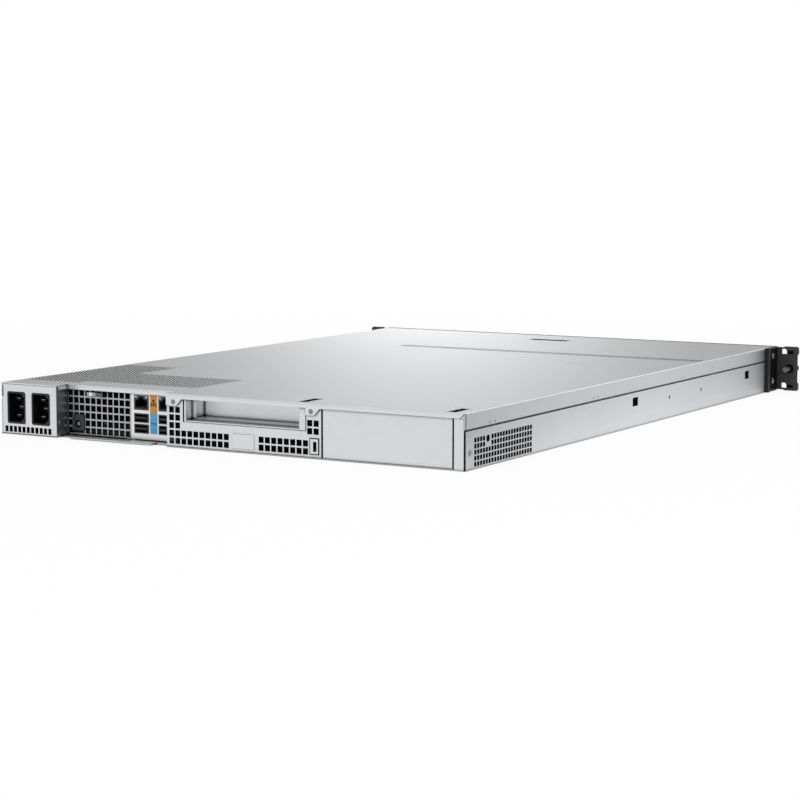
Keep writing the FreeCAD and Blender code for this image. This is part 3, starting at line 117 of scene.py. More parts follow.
def add_rod(mesh, axis, base, radius, length, sides=24, tip=None):
    """A round bar or cone from its base's centre along x, y or z."""
    turns = {"x": Matrix.Rotation(math.pi / 2, 4, "Y"), "y": Matrix.Rotation(-math.pi / 2, 4, "X"),
             "z": Matrix.Identity(4)}
    place = Matrix.Translation(base) @ turns[axis] @ Matrix.Translation((0, 0, length / 2))
    bmesh.ops.create_cone(mesh, cap_ends=True, segments=sides, radius1=radius,
                          radius2=radius if tip is None else tip, depth=length, matrix=place)


def piece(name, mesh, material, body, smooth=False):
    """Turn a finished bmesh into an object that rides on a body."""
    bmesh.ops.recalc_face_normals(mesh, faces=mesh.faces)
    data = bpy.data.meshes.new(name)
    mesh.to_mesh(data)
    mesh.free()
    for face in data.polygons:
        face.use_smooth = smooth
    made = bpy.data.objects.new(name, data)
    made.data.materials.append(material)
    bpy.context.scene.collection.objects.link(made)
    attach(made, body)
    return made


# ---- materials ----

def add_node(tree, kind, inputs=None, **settings):
    """A node with its settings, whose inputs are given values or linked to other nodes' outputs."""
    made = tree.nodes.new(kind)
    for name, value in settings.items():
        setattr(made, name, value)
    for name, value in (inputs or {}).items():
        socket = made.inputs[name]
        if isinstance(value, bpy.types.NodeSocket):
            tree.links.new(value, socket)
        else:
            socket.default_value = value
    return made


def reckon(tree, operation, *values):
    """The output of a maths node on the given values."""
    return add_node(tree, "ShaderNodeMath", dict(enumerate(values)), operation=operation).outputs[0]


def new_material(name):
    """An empty material and its tree."""
    made = bpy.data.materials.new(name)
    made.use_nodes = True
    made.node_tree.nodes.clear()
    return made, made.node_tree


def finish_surface(tree, **inputs):
    """The material's surface shader and its output."""
    names = {"colour": "Base Color", "metal": "Metallic", "roughness": "Roughness", "normal": "Normal",
             "coat": "Coat Weight", "specular": "Specular IOR Level"}
    shader = add_node(tree, "ShaderNodeBsdfPrincipled",
                      {names[key]: value for key, value in inputs.items()})
    add_node(tree, "ShaderNodeOutputMaterial", {"Surface": shader.outputs[0]})
    return shader


def grown(colour, factor):
    return tuple(min(1.0, part * factor) for part in colour) + (1.0,)


def crevice_shade(tree, surface, reach=3 * MM, floor=0.03):
    """Painted shade: darken a colour by ambient occlusion in joints, holes and folds, where little light
    gets in.
    """
    open_air = add_node(tree, "ShaderNodeAmbientOcclusion", {"Distance": reach}, samples=8)
    level = add_node(tree, "ShaderNodeMapRange", {"Value": open_air.outputs["AO"], "From Min": 0.45,
                                                  "From Max": 0.95, "To Min": floor, "To Max": 1.0})
    mixed = add_node(tree, "ShaderNodeMix", {0: 1.0, 6: surface, 7: level.outputs[0]}, data_type="RGBA",
                     blend_type="MULTIPLY")
    return mixed.outputs[2]


def zinc_sheet(name, colour, roughness=0.40, marks=(), mark_size=(1.6, 0.6), lean=0.0, punched=(),
               shades=(), grain_depth=0.008, side_tone=None, fields=()):
    """Continuously galvanised sheet: satin metal, a soft mottle of zinc grains and faint rolling streaks.

    lean tips the side faces a little upwards, as a folded edge springs back. punched lists the
    sheets whose hole walls get painted shade, and shades the joints and hollows that get painted
    shade. side_tone gives the shares of tone that the outer side loses to painted shade all over,
    towards its two ends and towards its top. fields lists the punched fields whose slanting rows
    get painted shade.
    """
    made, tree = new_material(name)
    place = add_node(tree, "ShaderNodeTexCoord").outputs["Object"]
    grain = add_node(tree, "ShaderNodeTexNoise",
                     {"Vector": place, "Scale": 1 / (14 * MM), "Detail": 4.0, "Roughness": 0.6})
    cloud = add_node(tree, "ShaderNodeTexNoise",
                     {"Vector": place, "Scale": 1 / (90 * MM), "Detail": 2.0})
    along = add_node(tree, "ShaderNodeMapping", {"Vector": place, "Scale": (1.0, 0.03, 1.0)})
    streak = add_node(tree, "ShaderNodeTexNoise",
                      {"Vector": along.outputs[0], "Scale": 1 / (2.5 * MM), "Detail": 2.0})
    mottle = reckon(tree, "ADD", reckon(tree, "ADD", grain.outputs[0], cloud.outputs[0]), streak.outputs[0])
    tone = add_node(tree, "ShaderNodeMapRange", {"Value": mottle, "From Min": 1.0, "From Max": 2.0})
    mixed = add_node(tree, "ShaderNodeMix", {0: tone.outputs[0], 6: grown(colour, 0.96),
                                             7: grown(colour, 1.03)}, data_type="RGBA")
    surface = mixed.outputs[2]
    rough = add_node(tree, "ShaderNodeMapRange", {"Value": mottle, "From Min": 1.0, "From Max": 2.0,
                                                  "To Min": roughness - 0.008,
                                                  "To Max": roughness + 0.008})
    edge = add_node(tree, "ShaderNodeBevel", {"Radius": bpy.context.scene.rack_sizes.edge}, samples=4)
    normal = leaned(tree, edge.outputs[0], lean) if lean else edge.outputs[0]
    bump = add_node(tree, "ShaderNodeBump", {"Height": streak.outputs[0], "Strength": grain_depth,
                                             "Distance": 0.1 * MM, "Normal": normal})
    if marks:
        surface = pressed_marks(tree, place, surface, marks, mark_size)
    # Painted shade on the walls of the punched holes.
    for axis, low, high in punched:
        surface = hole_wall_shade(tree, place, surface, axis, low, high)
    # Painted shade in the given joints and hollows.
    for low, high, share in shades:
        surface = dimmed(tree, surface, inside(tree, place, low, high), share)
    # Painted shade on the sideways faces, darker towards both ends and the top.
    if side_tone:
        surface = dimmed(tree, surface, side_face_shade(tree, place, *side_tone), 1.0)
    # Painted shade along the slanting rows of the punched fields.
    for low, high in fields:
        surface = dimmed(tree, surface, slot_row_shade(tree, place, (*low, COVER_LEVELS[0]),
                                                  (*high, COVER_LEVELS[1])), 0.6)
    finish_surface(tree, colour=crevice_shade(tree, surface), metal=1.0, roughness=rough.outputs[0],
                   normal=bump.outputs[0])
    return made


def slot_row_shade(tree, place, low, high):
    """Mask of painted shade: one on the slanting rows through a field's holes, so the holes read as
    slanting lines.
    """
    parts = add_node(tree, "ShaderNodeSeparateXYZ", {0: place}).outputs
    total = reckon(tree, "ADD", parts["X"], parts["Y"])
    share = math.tau / FIELD_PITCH
    wave = reckon(tree, "COSINE", reckon(tree, "MULTIPLY_ADD", total, share, -FIELD_START * share))
    row = add_node(tree, "ShaderNodeMapRange", {"Value": wave, "From Min": -0.15, "From Max": 0.15})
    return reckon(tree, "MULTIPLY", row.outputs[0], inside(tree, place, low, high))


def across_sheet(tree, axis):
    """One on the faces that stand across a sheet, which are the walls of its holes."""
    facing = add_node(tree, "ShaderNodeNewGeometry").outputs["True Normal"]
    parts = add_node(tree, "ShaderNodeSeparateXYZ", {0: facing}).outputs
    return reckon(tree, "LESS_THAN", reckon(tree, "ABSOLUTE", parts[axis]), 0.5)


def spot(across, back, up):
    """A place in the shared frame: millimetres from the middle, from the rear face and from the floor."""
    return (across * MM, REAR + back * MM, up * MM)


def inside(tree, place, low, high):
    """One in the box between two spots and zero outside it."""
    low, high = Vector(spot(*low)), Vector(spot(*high))
    away = add_node(tree, "ShaderNodeVectorMath", {0: place, 1: (low + high) / 2}, operation="SUBTRACT")
    size = add_node(tree, "ShaderNodeVectorMath", {0: away.outputs[0]}, operation="ABSOLUTE")
    room = add_node(tree, "ShaderNodeVectorMath", {0: (high - low) / 2, 1: size.outputs[0]},
                    operation="SUBTRACT")
    parts = add_node(tree, "ShaderNodeSeparateXYZ", {0: room.outputs[0]}).outputs
    least = reckon(tree, "MINIMUM", reckon(tree, "MINIMUM", parts["X"], parts["Y"]), parts["Z"])
    return reckon(tree, "GREATER_THAN", least, 0.0)


def dimmed(tree, surface, where, share):
    """Take a share of the colour away where the mask is one."""
    amount = reckon(tree, "MULTIPLY", where, share)
    return add_node(tree, "ShaderNodeMix", {0: amount, 6: surface, 7: DEEP_SHADOW},
                    data_type="RGBA").outputs[2]


def hole_wall_shade(tree, place, surface, axis, low, high):
    """Painted shade: darken the walls of the holes in a box."""
    both = reckon(tree, "MULTIPLY", across_sheet(tree, axis), inside(tree, place, low, high))
    return dimmed(tree, surface, both, WALL_SHARE)


def side_face_shade(tree, place, everywhere, ends, top):
    """Share of tone lost to painted shade on the faces that look sideways: even, growing to both ends and
    to the top.
    """
    facing = add_node(tree, "ShaderNodeNewGeometry").outputs["True Normal"]
    across = add_node(tree, "ShaderNodeSeparateXYZ", {0: facing}).outputs["X"]
    sideways = reckon(tree, "GREATER_THAN", reckon(tree, "ABSOLUTE", across), 0.5)
    parts = add_node(tree, "ShaderNodeSeparateXYZ", {0: place}).outputs
    away = add_node(tree, "ShaderNodeMapRange", {"Value": parts["Y"], "From Min": REAR - 580 * MM,
                                                 "From Max": REAR - 20 * MM, "To Min": -1.0, "To Max": 1.0},
                    clamp=False)
    square = reckon(tree, "MULTIPLY", away.outputs[0], away.outputs[0])
    height = add_node(tree, "ShaderNodeMapRange", {"Value": parts["Z"], "From Min": 6 * MM,
                                                   "From Max": 30 * MM, "To Min": 0.0, "To Max": top})
    total = reckon(tree, "ADD", reckon(tree, "MULTIPLY_ADD", square, ends, everywhere), height.outputs[0])
    return reckon(tree, "MULTIPLY", total, sideways)


def leaned(tree, normal, lean):
    """Tip the normals of faces that look along x upwards by a small share."""
    parts = add_node(tree, "ShaderNodeSeparateXYZ", {0: normal})
    rise = reckon(tree, "MULTIPLY", reckon(tree, "ABSOLUTE", parts.outputs["X"]), lean)
    shift = add_node(tree, "ShaderNodeCombineXYZ", {"Z": rise})
    tipped = add_node(tree, "ShaderNodeVectorMath", {0: normal, 1: shift.outputs[0]}, operation="ADD")
    return add_node(tree, "ShaderNodeVectorMath", {0: tipped.outputs[0]}, operation="NORMALIZE").outputs[0]


def pressed_marks(tree, place, surface, marks, mark_size):
    """Darken a ring of the given radius and half width round each clinch point of the sheet."""
    nearest = None
    for mark in marks:
        away = add_node(tree, "ShaderNodeVectorMath", {0: place, 1: mark}, operation="DISTANCE")
        if nearest is None:
            nearest = away.outputs["Value"]
        else:
            nearest = reckon(tree, "MINIMUM", nearest, away.outputs["Value"])
    ring = reckon(tree, "COMPARE", nearest, mark_size[0] * MM, mark_size[1] * MM)
    return dimmed(tree, surface, ring, 0.85)


def plain_metal(name, colour, roughness, grit=1.0, metal=1.0, ends=1.0, shades=()):
    """Plated or machined metal: an even tone with a fine grain in its gloss.

    ends is the share of the colour left on upright faces, the rest being painted shade. shades are
    boxes of painted shade.
    """
    made, tree = new_material(name)
    place = add_node(tree, "ShaderNodeTexCoord").outputs["Object"]
    grain = add_node(tree, "ShaderNodeTexNoise", {"Vector": place, "Scale": 1 / (grit * MM), "Detail": 3.0})
    rough = add_node(tree, "ShaderNodeMapRange", {"Value": grain.outputs[0], "To Min": roughness - 0.06,
                                                  "To Max": roughness + 0.06})
    tone = add_node(tree, "ShaderNodeMix", {0: grain.outputs[0], 6: grown(colour, 0.92),
                                            7: grown(colour, 1.06)}, data_type="RGBA")
    edge = add_node(tree, "ShaderNodeBevel", {"Radius": 0.25 * MM}, samples=4)
    surface = tone.outputs[2]
    # Painted shade on the upright faces.
    if ends < 1.0:
        facing = add_node(tree, "ShaderNodeNewGeometry").outputs["True Normal"]
        rise = add_node(tree, "ShaderNodeSeparateXYZ", {0: facing}).outputs["Z"]
        surface = dimmed(tree, surface, reckon(tree, "LESS_THAN", rise, 0.5), 1.0 - ends)
    # Painted shade in the given boxes.
    for low, high, share in shades:
        surface = dimmed(tree, surface, inside(tree, place, low, high), share)
    finish_surface(tree, colour=crevice_shade(tree, surface, 2 * MM), metal=metal,
                   roughness=rough.outputs[0], normal=edge.outputs[0])
    return made


def moulding(name, colour, roughness, grit=0.6, depth=0.03, coat=0.0, specular=0.5, shades=()):
    """Moulded plastic or powder coat: a fine pebbled grain that breaks up the gloss."""
    made, tree = new_material(name)
    place = add_node(tree, "ShaderNodeTexCoord").outputs["Object"]
    grain = add_node(tree, "ShaderNodeTexNoise", {"Vector": place, "Scale": 1 / (grit * MM), "Detail": 2.0})
    wear = add_node(tree, "ShaderNodeTexNoise", {"Vector": place, "Scale": 1 / (20 * MM), "Detail": 3.0})
    tone = add_node(tree, "ShaderNodeMix", {0: wear.outputs[0], 6: grown(colour, 0.86),
                                            7: grown(colour, 1.16)}, data_type="RGBA")
    rough = add_node(tree, "ShaderNodeMapRange", {"Value": wear.outputs[0], "To Min": roughness - 0.05,
                                                  "To Max": roughness + 0.05})
    edge = add_node(tree, "ShaderNodeBevel", {"Radius": 0.3 * MM}, samples=4)
    bump = add_node(tree, "ShaderNodeBump", {"Height": grain.outputs[0], "Strength": 0.25,
                                             "Distance": depth * MM, "Normal": edge.outputs[0]})
    surface = tone.outputs[2]
    gloss = specular
    # Painted shade in the given boxes, which also takes away gloss there.
    for low, high, share in shades:
        where = inside(tree, place, low, high)
        surface = dimmed(tree, surface, where, share)
        gloss = add_node(tree, "ShaderNodeMath", {0: where, 1: -share * specular, 2: gloss},
                         operation="MULTIPLY_ADD", use_clamp=True).outputs[0]
    finish_surface(tree, colour=surface, metal=0.0, roughness=rough.outputs[0],
                   normal=bump.outputs[0], coat=coat, specular=gloss)
    return made


def board_laminate(name, colour):
    """Glass laminate under solder mask: even green, with faint copper tracks that show as lighter lines."""
    made, tree = new_material(name)
    place = add_node(tree, "ShaderNodeTexCoord").outputs["Object"]
    tracks = add_node(tree, "ShaderNodeTexBrick",
                      {"Vector": place, "Scale": 1 / (6 * MM), "Mortar Size": 0.04,
                       "Color1": grown(colour, 1.0), "Color2": grown(colour, 0.85),
                       "Mortar": grown(colour, 1.8)}, offset=0.37, squash=0.6)
    finish_surface(tree, colour=tracks.outputs[0], roughness=0.5)
    return made


MATERIALS = {}
DEEP_SHADOW = (0.004, 0.004, 0.004, 1)
WALL_SHARE = 0.985
COVER_LEVELS = (41.5, 43.1)
# The boxes below are given in millimetres from the case's middle, its rear face and the floor. The
# punched ones hold holes whose walls get painted shade. The shades are boxes of painted shade on
# joints, hollows and the borders of holes, each with the share of tone that it loses.
REAR_PUNCHED = (
    ("Y", (CAGE[0][0] / MM + 1, -2.4, 0), (CAGE[1][0] / MM - 1, -0.7, 41)),
    ("Y", (PORT_EDGE + 1, -16.1, 0), (SUPPLY[0][0] / MM - 0.2, -14.9, 41)),
    ("Y", (SUPPLY[0][0] / MM + 1.5, -1.1, 1.2), (SUPPLY[1][0] / MM - 1.5, 0.1, 7.5)),
)
# Painted shade on the perforated panel under the overhang and near its foot, in the gaps beside the panels,
# on the supply's side in the recess and at its corner, and round the lock slot.
REAR_SHADES = (
    ((PORT_EDGE, -16.1, 0), (SUPPLY[0][0] / MM, -14.9, 42), 0.36),
    ((143.8, -16.1, 3.1), (156.1, -14.9, 5.6), 0.97),
    ((SUPPLY[0][0] / MM - 0.2, -14.9, 0), (SUPPLY[0][0] / MM + 0.2, -0.3, 42), 0.58),
    ((SUPPLY[0][0] / MM - 0.2, -300, 0), (SUPPLY[0][0] / MM + 0.2, -16.1, 42), 0.85),
    ((216.2, -0.5, 31), (217.3, 0.1, 40.5), 0.9),
    ((-94.7, -10, 0), (-93.0, -0.6, 40), 0.97),
    ((-208.4, -10, 0), (-206.9, 0.1, 39), 0.97),
    ((-91.4, -3, 3.1), (-90.4, 0.1, 16.2), 0.9),
    ((-83.4, -3, 3.1), (-82.4, 0.1, 16.2), 0.9),
    ((-91.4, -3, 3.1), (-82.4, 0.1, 4.0), 0.9),
    ((-91.4, -3, 15.3), (-82.4, 0.1, 16.2), 0.9),
)
# Holes whose walls get painted shade.
SIDE_PUNCHED = (
    ("X", (CASE_SIDE / MM - 0.1, -112, 2), (CASE_SIDE / MM + 1.1, -13, 28)),
)
# Painted shade in the gap by the blank panel, in the groove at the rear corner and under the cover's
# flange.
SIDE_SHADES = (
    ((-208.4, -10, 0), (-206.9, 0.1, 39), 0.97),
    ((-218.6, -0.8, 0.4), (-217.1, 0.1, 35), 0.95),
    ((-218.6, -637, 29.5), (-217.1, -0.8, 31.2), 0.6),
)
# Painted shade over the pan's inside floor.
PAN_SHADES = (
    ((-217.4, -636, 0.9), (217.4, -15.9, 1.2), 0.8),
)
# Painted shade on the shield's hidden foot and on the rear tab, with a bright band left on the tab as a
# painted highlight.
SHIELD_SHADES = (
    ((51, -16, 0), (59, -14.9, 42), 0.95),
    ((122, -14.8, 33), (129.5, -10, 41), 0.85),
    ((129.5, -14.8, 33), (133, -10, 41), 0.5),
    ((135.5, -14.8, 33), (142, -10, 41), 0.5),
)
# Painted shade on the lower part of each pin's end, leaving a thin bright strip at its top as a painted
# highlight.
PIN_SHADES = (
    ((160, -4, 28.4), (218, -3, 30.0), 0.95),
    ((160, -4, 21.4), (218, -3, 23.0), 0.95),
    ((160, -4, 14.4), (218, -3, 16.0), 0.95),
)
# Painted shade in the ears' recesses, on their rims and in the pockets of their flanges, on both ears.
EAR_SHADES = tuple(
    ((min(side * near, side * far), front, low), (max(side * near, side * far), back, high), share)
    for side in (-1, 1)
    for near, far, front, back, low, high, share in (
        (218.4, 220.6, -642.25, -619.2, 1.5, 41.5, 0.92),
        (220.0, 222.2, -619.2, -618.9, 1.5, 41.5, 0.6),
        (218.4, 222.0, -614.3, -613.9, -1, 44, 0.5),
        (221.4, 222.2, -619.3, -614.3, -1, 44, 0.25),
        (223.0, 240.6, -645.2, -642.5, 1.2, 41.8, 0.92),
    )
)
# Painted shade: a dark line along the rear edge of the folded side.
RAIL_SHADES = (
    ((-218.6, -1.5, 31), (-218.3, 0.1, 42.7), 0.8),
)
# Holes whose walls get painted shade.
COVER_PUNCHED = (
    ("Z", (-216, -625, COVER_LEVELS[0]), (45, -2.5, COVER_LEVELS[1])),
    ("Z", (45, -625, COVER_LEVELS[0]), (217, -19.5, COVER_LEVELS[1])),
)
COVER_FIELDS = (
    ((53.4, -112), (161.2, -42)),
    ((161.2, -169.75), (214.5, -28)),
)
FIELD_PITCH = 3.85 * MM
FIELD_START = (53.4 - 112 + 2.6) * MM + REAR    # x and y together at the first hole's middle
# Painted shade in and round slots on the cover, drawing them darker and larger than they are cut.
COVER_SHADES = (
    ((-165.8, -594.4, 42.8), (-142, -592.6, 43.1), 0.5),
    ((-18.6, -596.5, 42.8), (23.2, -584.0, 43.1), 0.96),
    ((-208.3, -30.0, 42.8), (-199.8, -4.0, 43.1), 0.93),
    ((-78.6, -30.0, 42.8), (-70.4, -3.8, 43.1), 0.93),
)


def finishes():
    """All materials by name, made once."""
    if MATERIALS:
        return MATERIALS
    tint = bpy.context.scene.rack_finish
    cover_marks = [(*spot(x, y, 0)[:2], TOP) for x, y in
                   ((95.3, -371.8), (85.4, -371.8), (90.3, -492.2), (90.5, -508.7), (11.8, -558.3),
                    (-6.7, -556.3), (-120.4, -381.3), (-130.2, -381.8))]
    side_marks = [(CASE_SIDE, *spot(0, y, 32.9)[1:]) for y in (-38.9, -47.3, -222, -230, -406, -412.4)]
    MATERIALS.update(
        zinc=zinc_sheet("Galvanised sheet", tint.zinc),
        # The pan, rear, side, cover and folded-edge copies of the sheet carry painted shade in the boxes
        # above, and the side ones also along their sides.
        pan=zinc_sheet("Galvanised pan", tint.zinc, shades=PAN_SHADES),
        rear=zinc_sheet("Galvanised rear sheet", tint.zinc, punched=REAR_PUNCHED, shades=REAR_SHADES),
        side=zinc_sheet("Galvanised side sheet", tint.zinc, punched=SIDE_PUNCHED, shades=SIDE_SHADES,
                        side_tone=(0.03, 0.22, 0.13)),
        cover=zinc_sheet("Galvanised cover sheet", tint.zinc, 0.22, cover_marks,
                         punched=COVER_PUNCHED, shades=COVER_SHADES, grain_depth=0.002,
                         fields=COVER_FIELDS),
        rails=zinc_sheet("Galvanised folded edge", tint.zinc, 0.34, side_marks, (0.0, 0.8), lean=0.09,
                         shades=RAIL_SHADES, side_tone=(0.17, 0.16, 0.0)),
        rivet=plain_metal("Pressed steel rivet", linear("#8E9193"), 0.42),
        port=plain_metal("Blackened steel port shell", linear("#4A4C4F"), 0.36),
        nickel=plain_metal("Nickel-plated spring steel", tint.nickel, 0.30, shades=SHIELD_SHADES),
        bolt=plain_metal("Bright zinc screw", linear("#DADAD6"), 0.4),
        coat=moulding("Black powder coat", tint.coat, 0.55, 0.9, 0.05, shades=EAR_SHADES),
        knob=screw_and_knob("Black knob on a bright screw"),
        cap=moulding("Matt black rubber cap", linear("#030303"), 0.9, specular=0.0),
        bezel=moulding("Black ABS with spark grain", linear("#1B1B1D"), 0.48),
        lever=moulding("Grey ABS", linear("#3C3D40"), 0.42),
        key=moulding("Grey polycarbonate key", linear("#8E9196"), 0.25, coat=0.4),
        inlet=moulding("Glass-filled black nylon", linear("#0C0C0D"), 0.42),
        jack=jack_finish(),
        rotor=moulding("Black glossy fan plastic", linear("#17171A"), 0.25),
        contact=plain_metal("Tin-plated brass contact", linear("#C9C8C2"), 0.30, ends=0.5,
                            shades=PIN_SHADES),
        # Gold tone darkened as painted shade, for contacts that sit deep in the sockets.
        gold=plain_metal("Gold-flashed contact", linear("#8A682A"), 0.35),
        laminate=board_laminate("Green circuit laminate", tint.laminate),
        stamped=plain_metal("Stamped nickel steel", linear("#B9B9B4"), 0.35),
        extruded=plain_metal("Extruded aluminium", linear("#C9CACB"), 0.38, 0.5),
        latch=moulding("Ivory nylon", linear("#D9D6C8"), 0.42),
        cast=plain_metal("Machined cast aluminium", linear("#AEB1B4"), 0.42, 1.5),
        sleeve=moulding("Braided black sleeve", linear("#1A1A1A"), 0.7, 1.2, 0.3),
        upper_label=moulding("Printed label, amber", tint.upper_label, 0.5, 0.5, 0.01),
        lower_label=moulding("Printed label, blue", tint.lower_label, 0.5, 0.5, 0.01),
        ink=moulding("Dark brown print", linear("#4A2410"), 0.6, 0.5, 0.01),
        blue_ink=moulding("Dark blue print", linear("#17365A"), 0.6, 0.5, 0.01),
    )
    return MATERIALS


def screw_and_knob(name):
    """Black coated knob whose screw end, behind the ear, is bare dark zinc."""
    made, tree = new_material(name)
    place = add_node(tree, "ShaderNodeTexCoord").outputs["Object"]
    depth = add_node(tree, "ShaderNodeSeparateXYZ", {0: place}).outputs["Y"]
    behind = reckon(tree, "GREATER_THAN", depth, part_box("ear_left")[0][1] + 3 * MM)
    tone = add_node(tree, "ShaderNodeMix", {0: behind, 6: grown(linear("#222224"), 1.0),
                                            7: grown(linear("#8E8E8C"), 1.0)}, data_type="RGBA")
    finish_surface(tree, colour=tone.outputs[2], metal=behind, roughness=0.4,
                   normal=pebbled(tree, place))
    return made


def pebbled(tree, place, **more):
    """The normal of a fine moulded grain."""
    grain = add_node(tree, "ShaderNodeTexNoise", {"Vector": place, "Scale": 1 / (0.6 * MM)})
    bump = add_node(tree, "ShaderNodeBump", {"Height": grain.outputs[0], "Strength": 0.2,
                                             "Distance": 0.03 * MM, **more})
    return bump.outputs[0]


def jack_finish():
    """Dark moulded socket with a plated centre pin, whose hollow mouth gets near-black painted shade."""
    made, tree = new_material("Moulded jack with plated pin")
    low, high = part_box("round_jack")
    place = add_node(tree, "ShaderNodeTexCoord").outputs["Object"]
    flat = add_node(tree, "ShaderNodeVectorMath", {0: place, 1: (1.0, 0.0, 1.0)}, operation="MULTIPLY")
    axis = (high[0] - 6.15 * MM, 0.0, low[2] + 5.3 * MM)
    away = add_node(tree, "ShaderNodeVectorMath", {0: flat.outputs[0], 1: axis}, operation="DISTANCE")
    pin = reckon(tree, "LESS_THAN", away.outputs["Value"], 1.78 * MM)
    # Painted shade: the hollow round the pin is painted near-black.
    hollow = reckon(tree, "LESS_THAN", away.outputs["Value"], 3.24 * MM)
    body = add_node(tree, "ShaderNodeMix", {0: hollow, 6: grown(linear("#2C2D2F"), 1.0),
                                            7: grown(linear("#040404"), 1.0)}, data_type="RGBA")
    tone = add_node(tree, "ShaderNodeMix", {0: pin, 6: body.outputs[2],
                                            7: grown(linear("#8C8D8E"), 1.0)}, data_type="RGBA")
    finish_surface(tree, colour=tone.outputs[2], metal=pin, roughness=0.42, normal=pebbled(tree, place))
    return made


# ---- operators ----

CASE_FINISHES = {
    "zinc": ("side_wall_right", "slot_frame", "slot_blank", "drive_cage", "fan_bracket"),
    "pan": ("base_pan",),
    "rear": ("rear_panel", "riser_cage", "rear_blank_panel", "psu_case"),
    "side": ("side_wall_left",),
    "cover": ("top_cover",),
    "rails": ("cover_rails",),
    "rivet": ("rivets", "cover_rivets"),
    "nickel": ("io_shield", "rear_tab"),
    "port": ("port_stacks",),
    "bolt": ("case_screws", "board_standoffs"),
    "coat": ("ear_left", "ear_right"),
    "knob": ("thumbscrew_left", "thumbscrew_right"),
    "cap": ("cover_button",),
    "bezel": ("front_panel",),
    "lever": ("lever_1", "lever_2", "lever_3"),
    "key": ("power_button", "id_button"),
    "inlet": ("power_inlets", "memory_slots", "psu_fan_frame", "fan_frames"),
    "jack": ("round_jack",),
    "rotor": ("psu_fan_rotor", *(f"fan_rotor_{number}" for number in range(1, 6))),
    "contact": ("inlet_pins",),
    "laminate": ("mainboard", "riser_card", "backplane", "psu_board", "control_board", "memory_modules"),
    "stamped": ("cpu_sockets",),
    "extruded": ("heatsinks",),
    "latch": ("memory_latches_front", "memory_latches_rear"),
    "cast": ("drive_1", "drive_2", "drive_3"),
    "sleeve": ("internal_cables",),
}


class RACK_OT_case_finish(bpy.types.Operator):
    """Give every part of the case and its insides the finish of the real material"""
    bl_idname = "rack.case_finish"
    bl_label = "Case finishes"

    def execute(self, context):
        made = finishes()
        for finish, nodes in CASE_FINISHES.items():
            for node in nodes:
                dress(node, made[finish])
        tray = tray_finish(made)
        for number in (1, 2, 3):
            dress(f"carrier_{number}", tray)
        return {"FINISHED"}


def dress(node, material):
    """Put a material on a CAD node."""
    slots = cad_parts[node].material_slots
    if not slots:
        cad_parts[node].data.materials.append(material)
    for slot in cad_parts[node].material_slots:
        slot.material = material


def tray_finish(made):
    """A black moulded bezel on a zinc-coated tray: the change lies at the bezel's back."""
    mixed, tree = new_material("Black bezel on zinc tray")
    place = add_node(tree, "ShaderNodeTexCoord").outputs["Object"]
    depth = add_node(tree, "ShaderNodeSeparateXYZ", {0: place}).outputs["Y"]
    behind = reckon(tree, "GREATER_THAN", depth, CAD_BOX[0][1] + 13.8 * MM)
    edge = add_node(tree, "ShaderNodeBevel", {"Radius": 0.3 * MM}, samples=4)
    tone = add_node(tree, "ShaderNodeMix", {0: behind, 6: grown(linear("#1B1B1D"), 1.0),
                                            7: grown(bpy.context.scene.rack_finish.zinc, 1.0)},
                    data_type="RGBA")
    finish_surface(tree, colour=tone.outputs[2], metal=behind, roughness=0.44,
                   normal=pebbled(tree, place, Normal=edge.outputs[0]))
    return mixed


class RACK_OT_port_details(bpy.types.Operator):
    """Line the network and serial sockets and give them contacts, tongues and lamp windows"""
    bl_idname = "rack.port_details"
    bl_label = "Port details"

    def execute(self, context):
        made = finishes()
        low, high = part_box("port_stacks")
        face = high[1]
        lining, tongues, contacts, windows = (bmesh.new() for _ in range(4))
        width = 14 * MM
        for left in (low[0], high[0] - width):
            right = left + width
            back = face - 13 * MM
            add_block(lining, (left + 1.15 * MM, back, 27.2 * MM),
                      (right - 1.15 * MM, face - 0.3 * MM, 27.9 * MM))
            add_block(lining, (left + 1.1 * MM, back, 27.2 * MM),
                      (right - 1.1 * MM, back + 0.6 * MM, 34.2 * MM))
            for side in (left + 1.1 * MM, right - 1.5 * MM):
                add_block(lining, (side, back, 27.3 * MM), (side + 0.4 * MM, face - 0.3 * MM, 34.1 * MM))
            pitch = 1.02 * MM
            start = (left + right) / 2 - 3.5 * pitch
            half = context.scene.rack_sizes.contact / 2
            for number in range(8):
                across = start + number * pitch
                add_block(contacts, (across - half, face - 11 * MM, 28.0 * MM),
                          (across + half, face - 2.2 * MM, 28.9 * MM), 0.1 * MM, 1)
            for side, other in ((left + 0.7 * MM, left + 2.9 * MM), (right - 2.9 * MM, right - 0.7 * MM)):
                add_block(windows, (side, face - 0.4 * MM, 35.9 * MM), (other, face + 0.08 * MM, 37.1 * MM))
            for floor in (7.2 * MM, 15.9 * MM):
                add_block(tongues, (left + 1.6 * MM, face - 11.6 * MM, floor + 2.62 * MM),
                          (right - 0.75 * MM, face + 0.06 * MM, floor + 4.68 * MM))
                add_block(lining, (left + 0.75 * MM, face - 11.9 * MM, floor + 0.6 * MM),
                          (right - 0.75 * MM, face - 11.4 * MM, floor + 6.45 * MM))
        piece("network_socket_lining", lining, made["inlet"], "chassis")
        piece("serial_socket_tongues", tongues, made["inlet"], "chassis")
        piece("network_contacts", contacts, made["gold"], "chassis")
        piece("network_lamp_windows", windows, made["latch"], "chassis")
        return {"FINISHED"}


INLET_RADIUS = 2 * MM
INLET_STEPS = 6
INLET_WIDE = 19.2 * MM
INLET_OUTER = (SUPPLY[1][0] - 4.9 * MM, SUPPLY[1][0] - 30.3 * MM)
INLET_LEVELS = (9.1 * MM, 35.8 * MM)
PLATE = 1 * MM


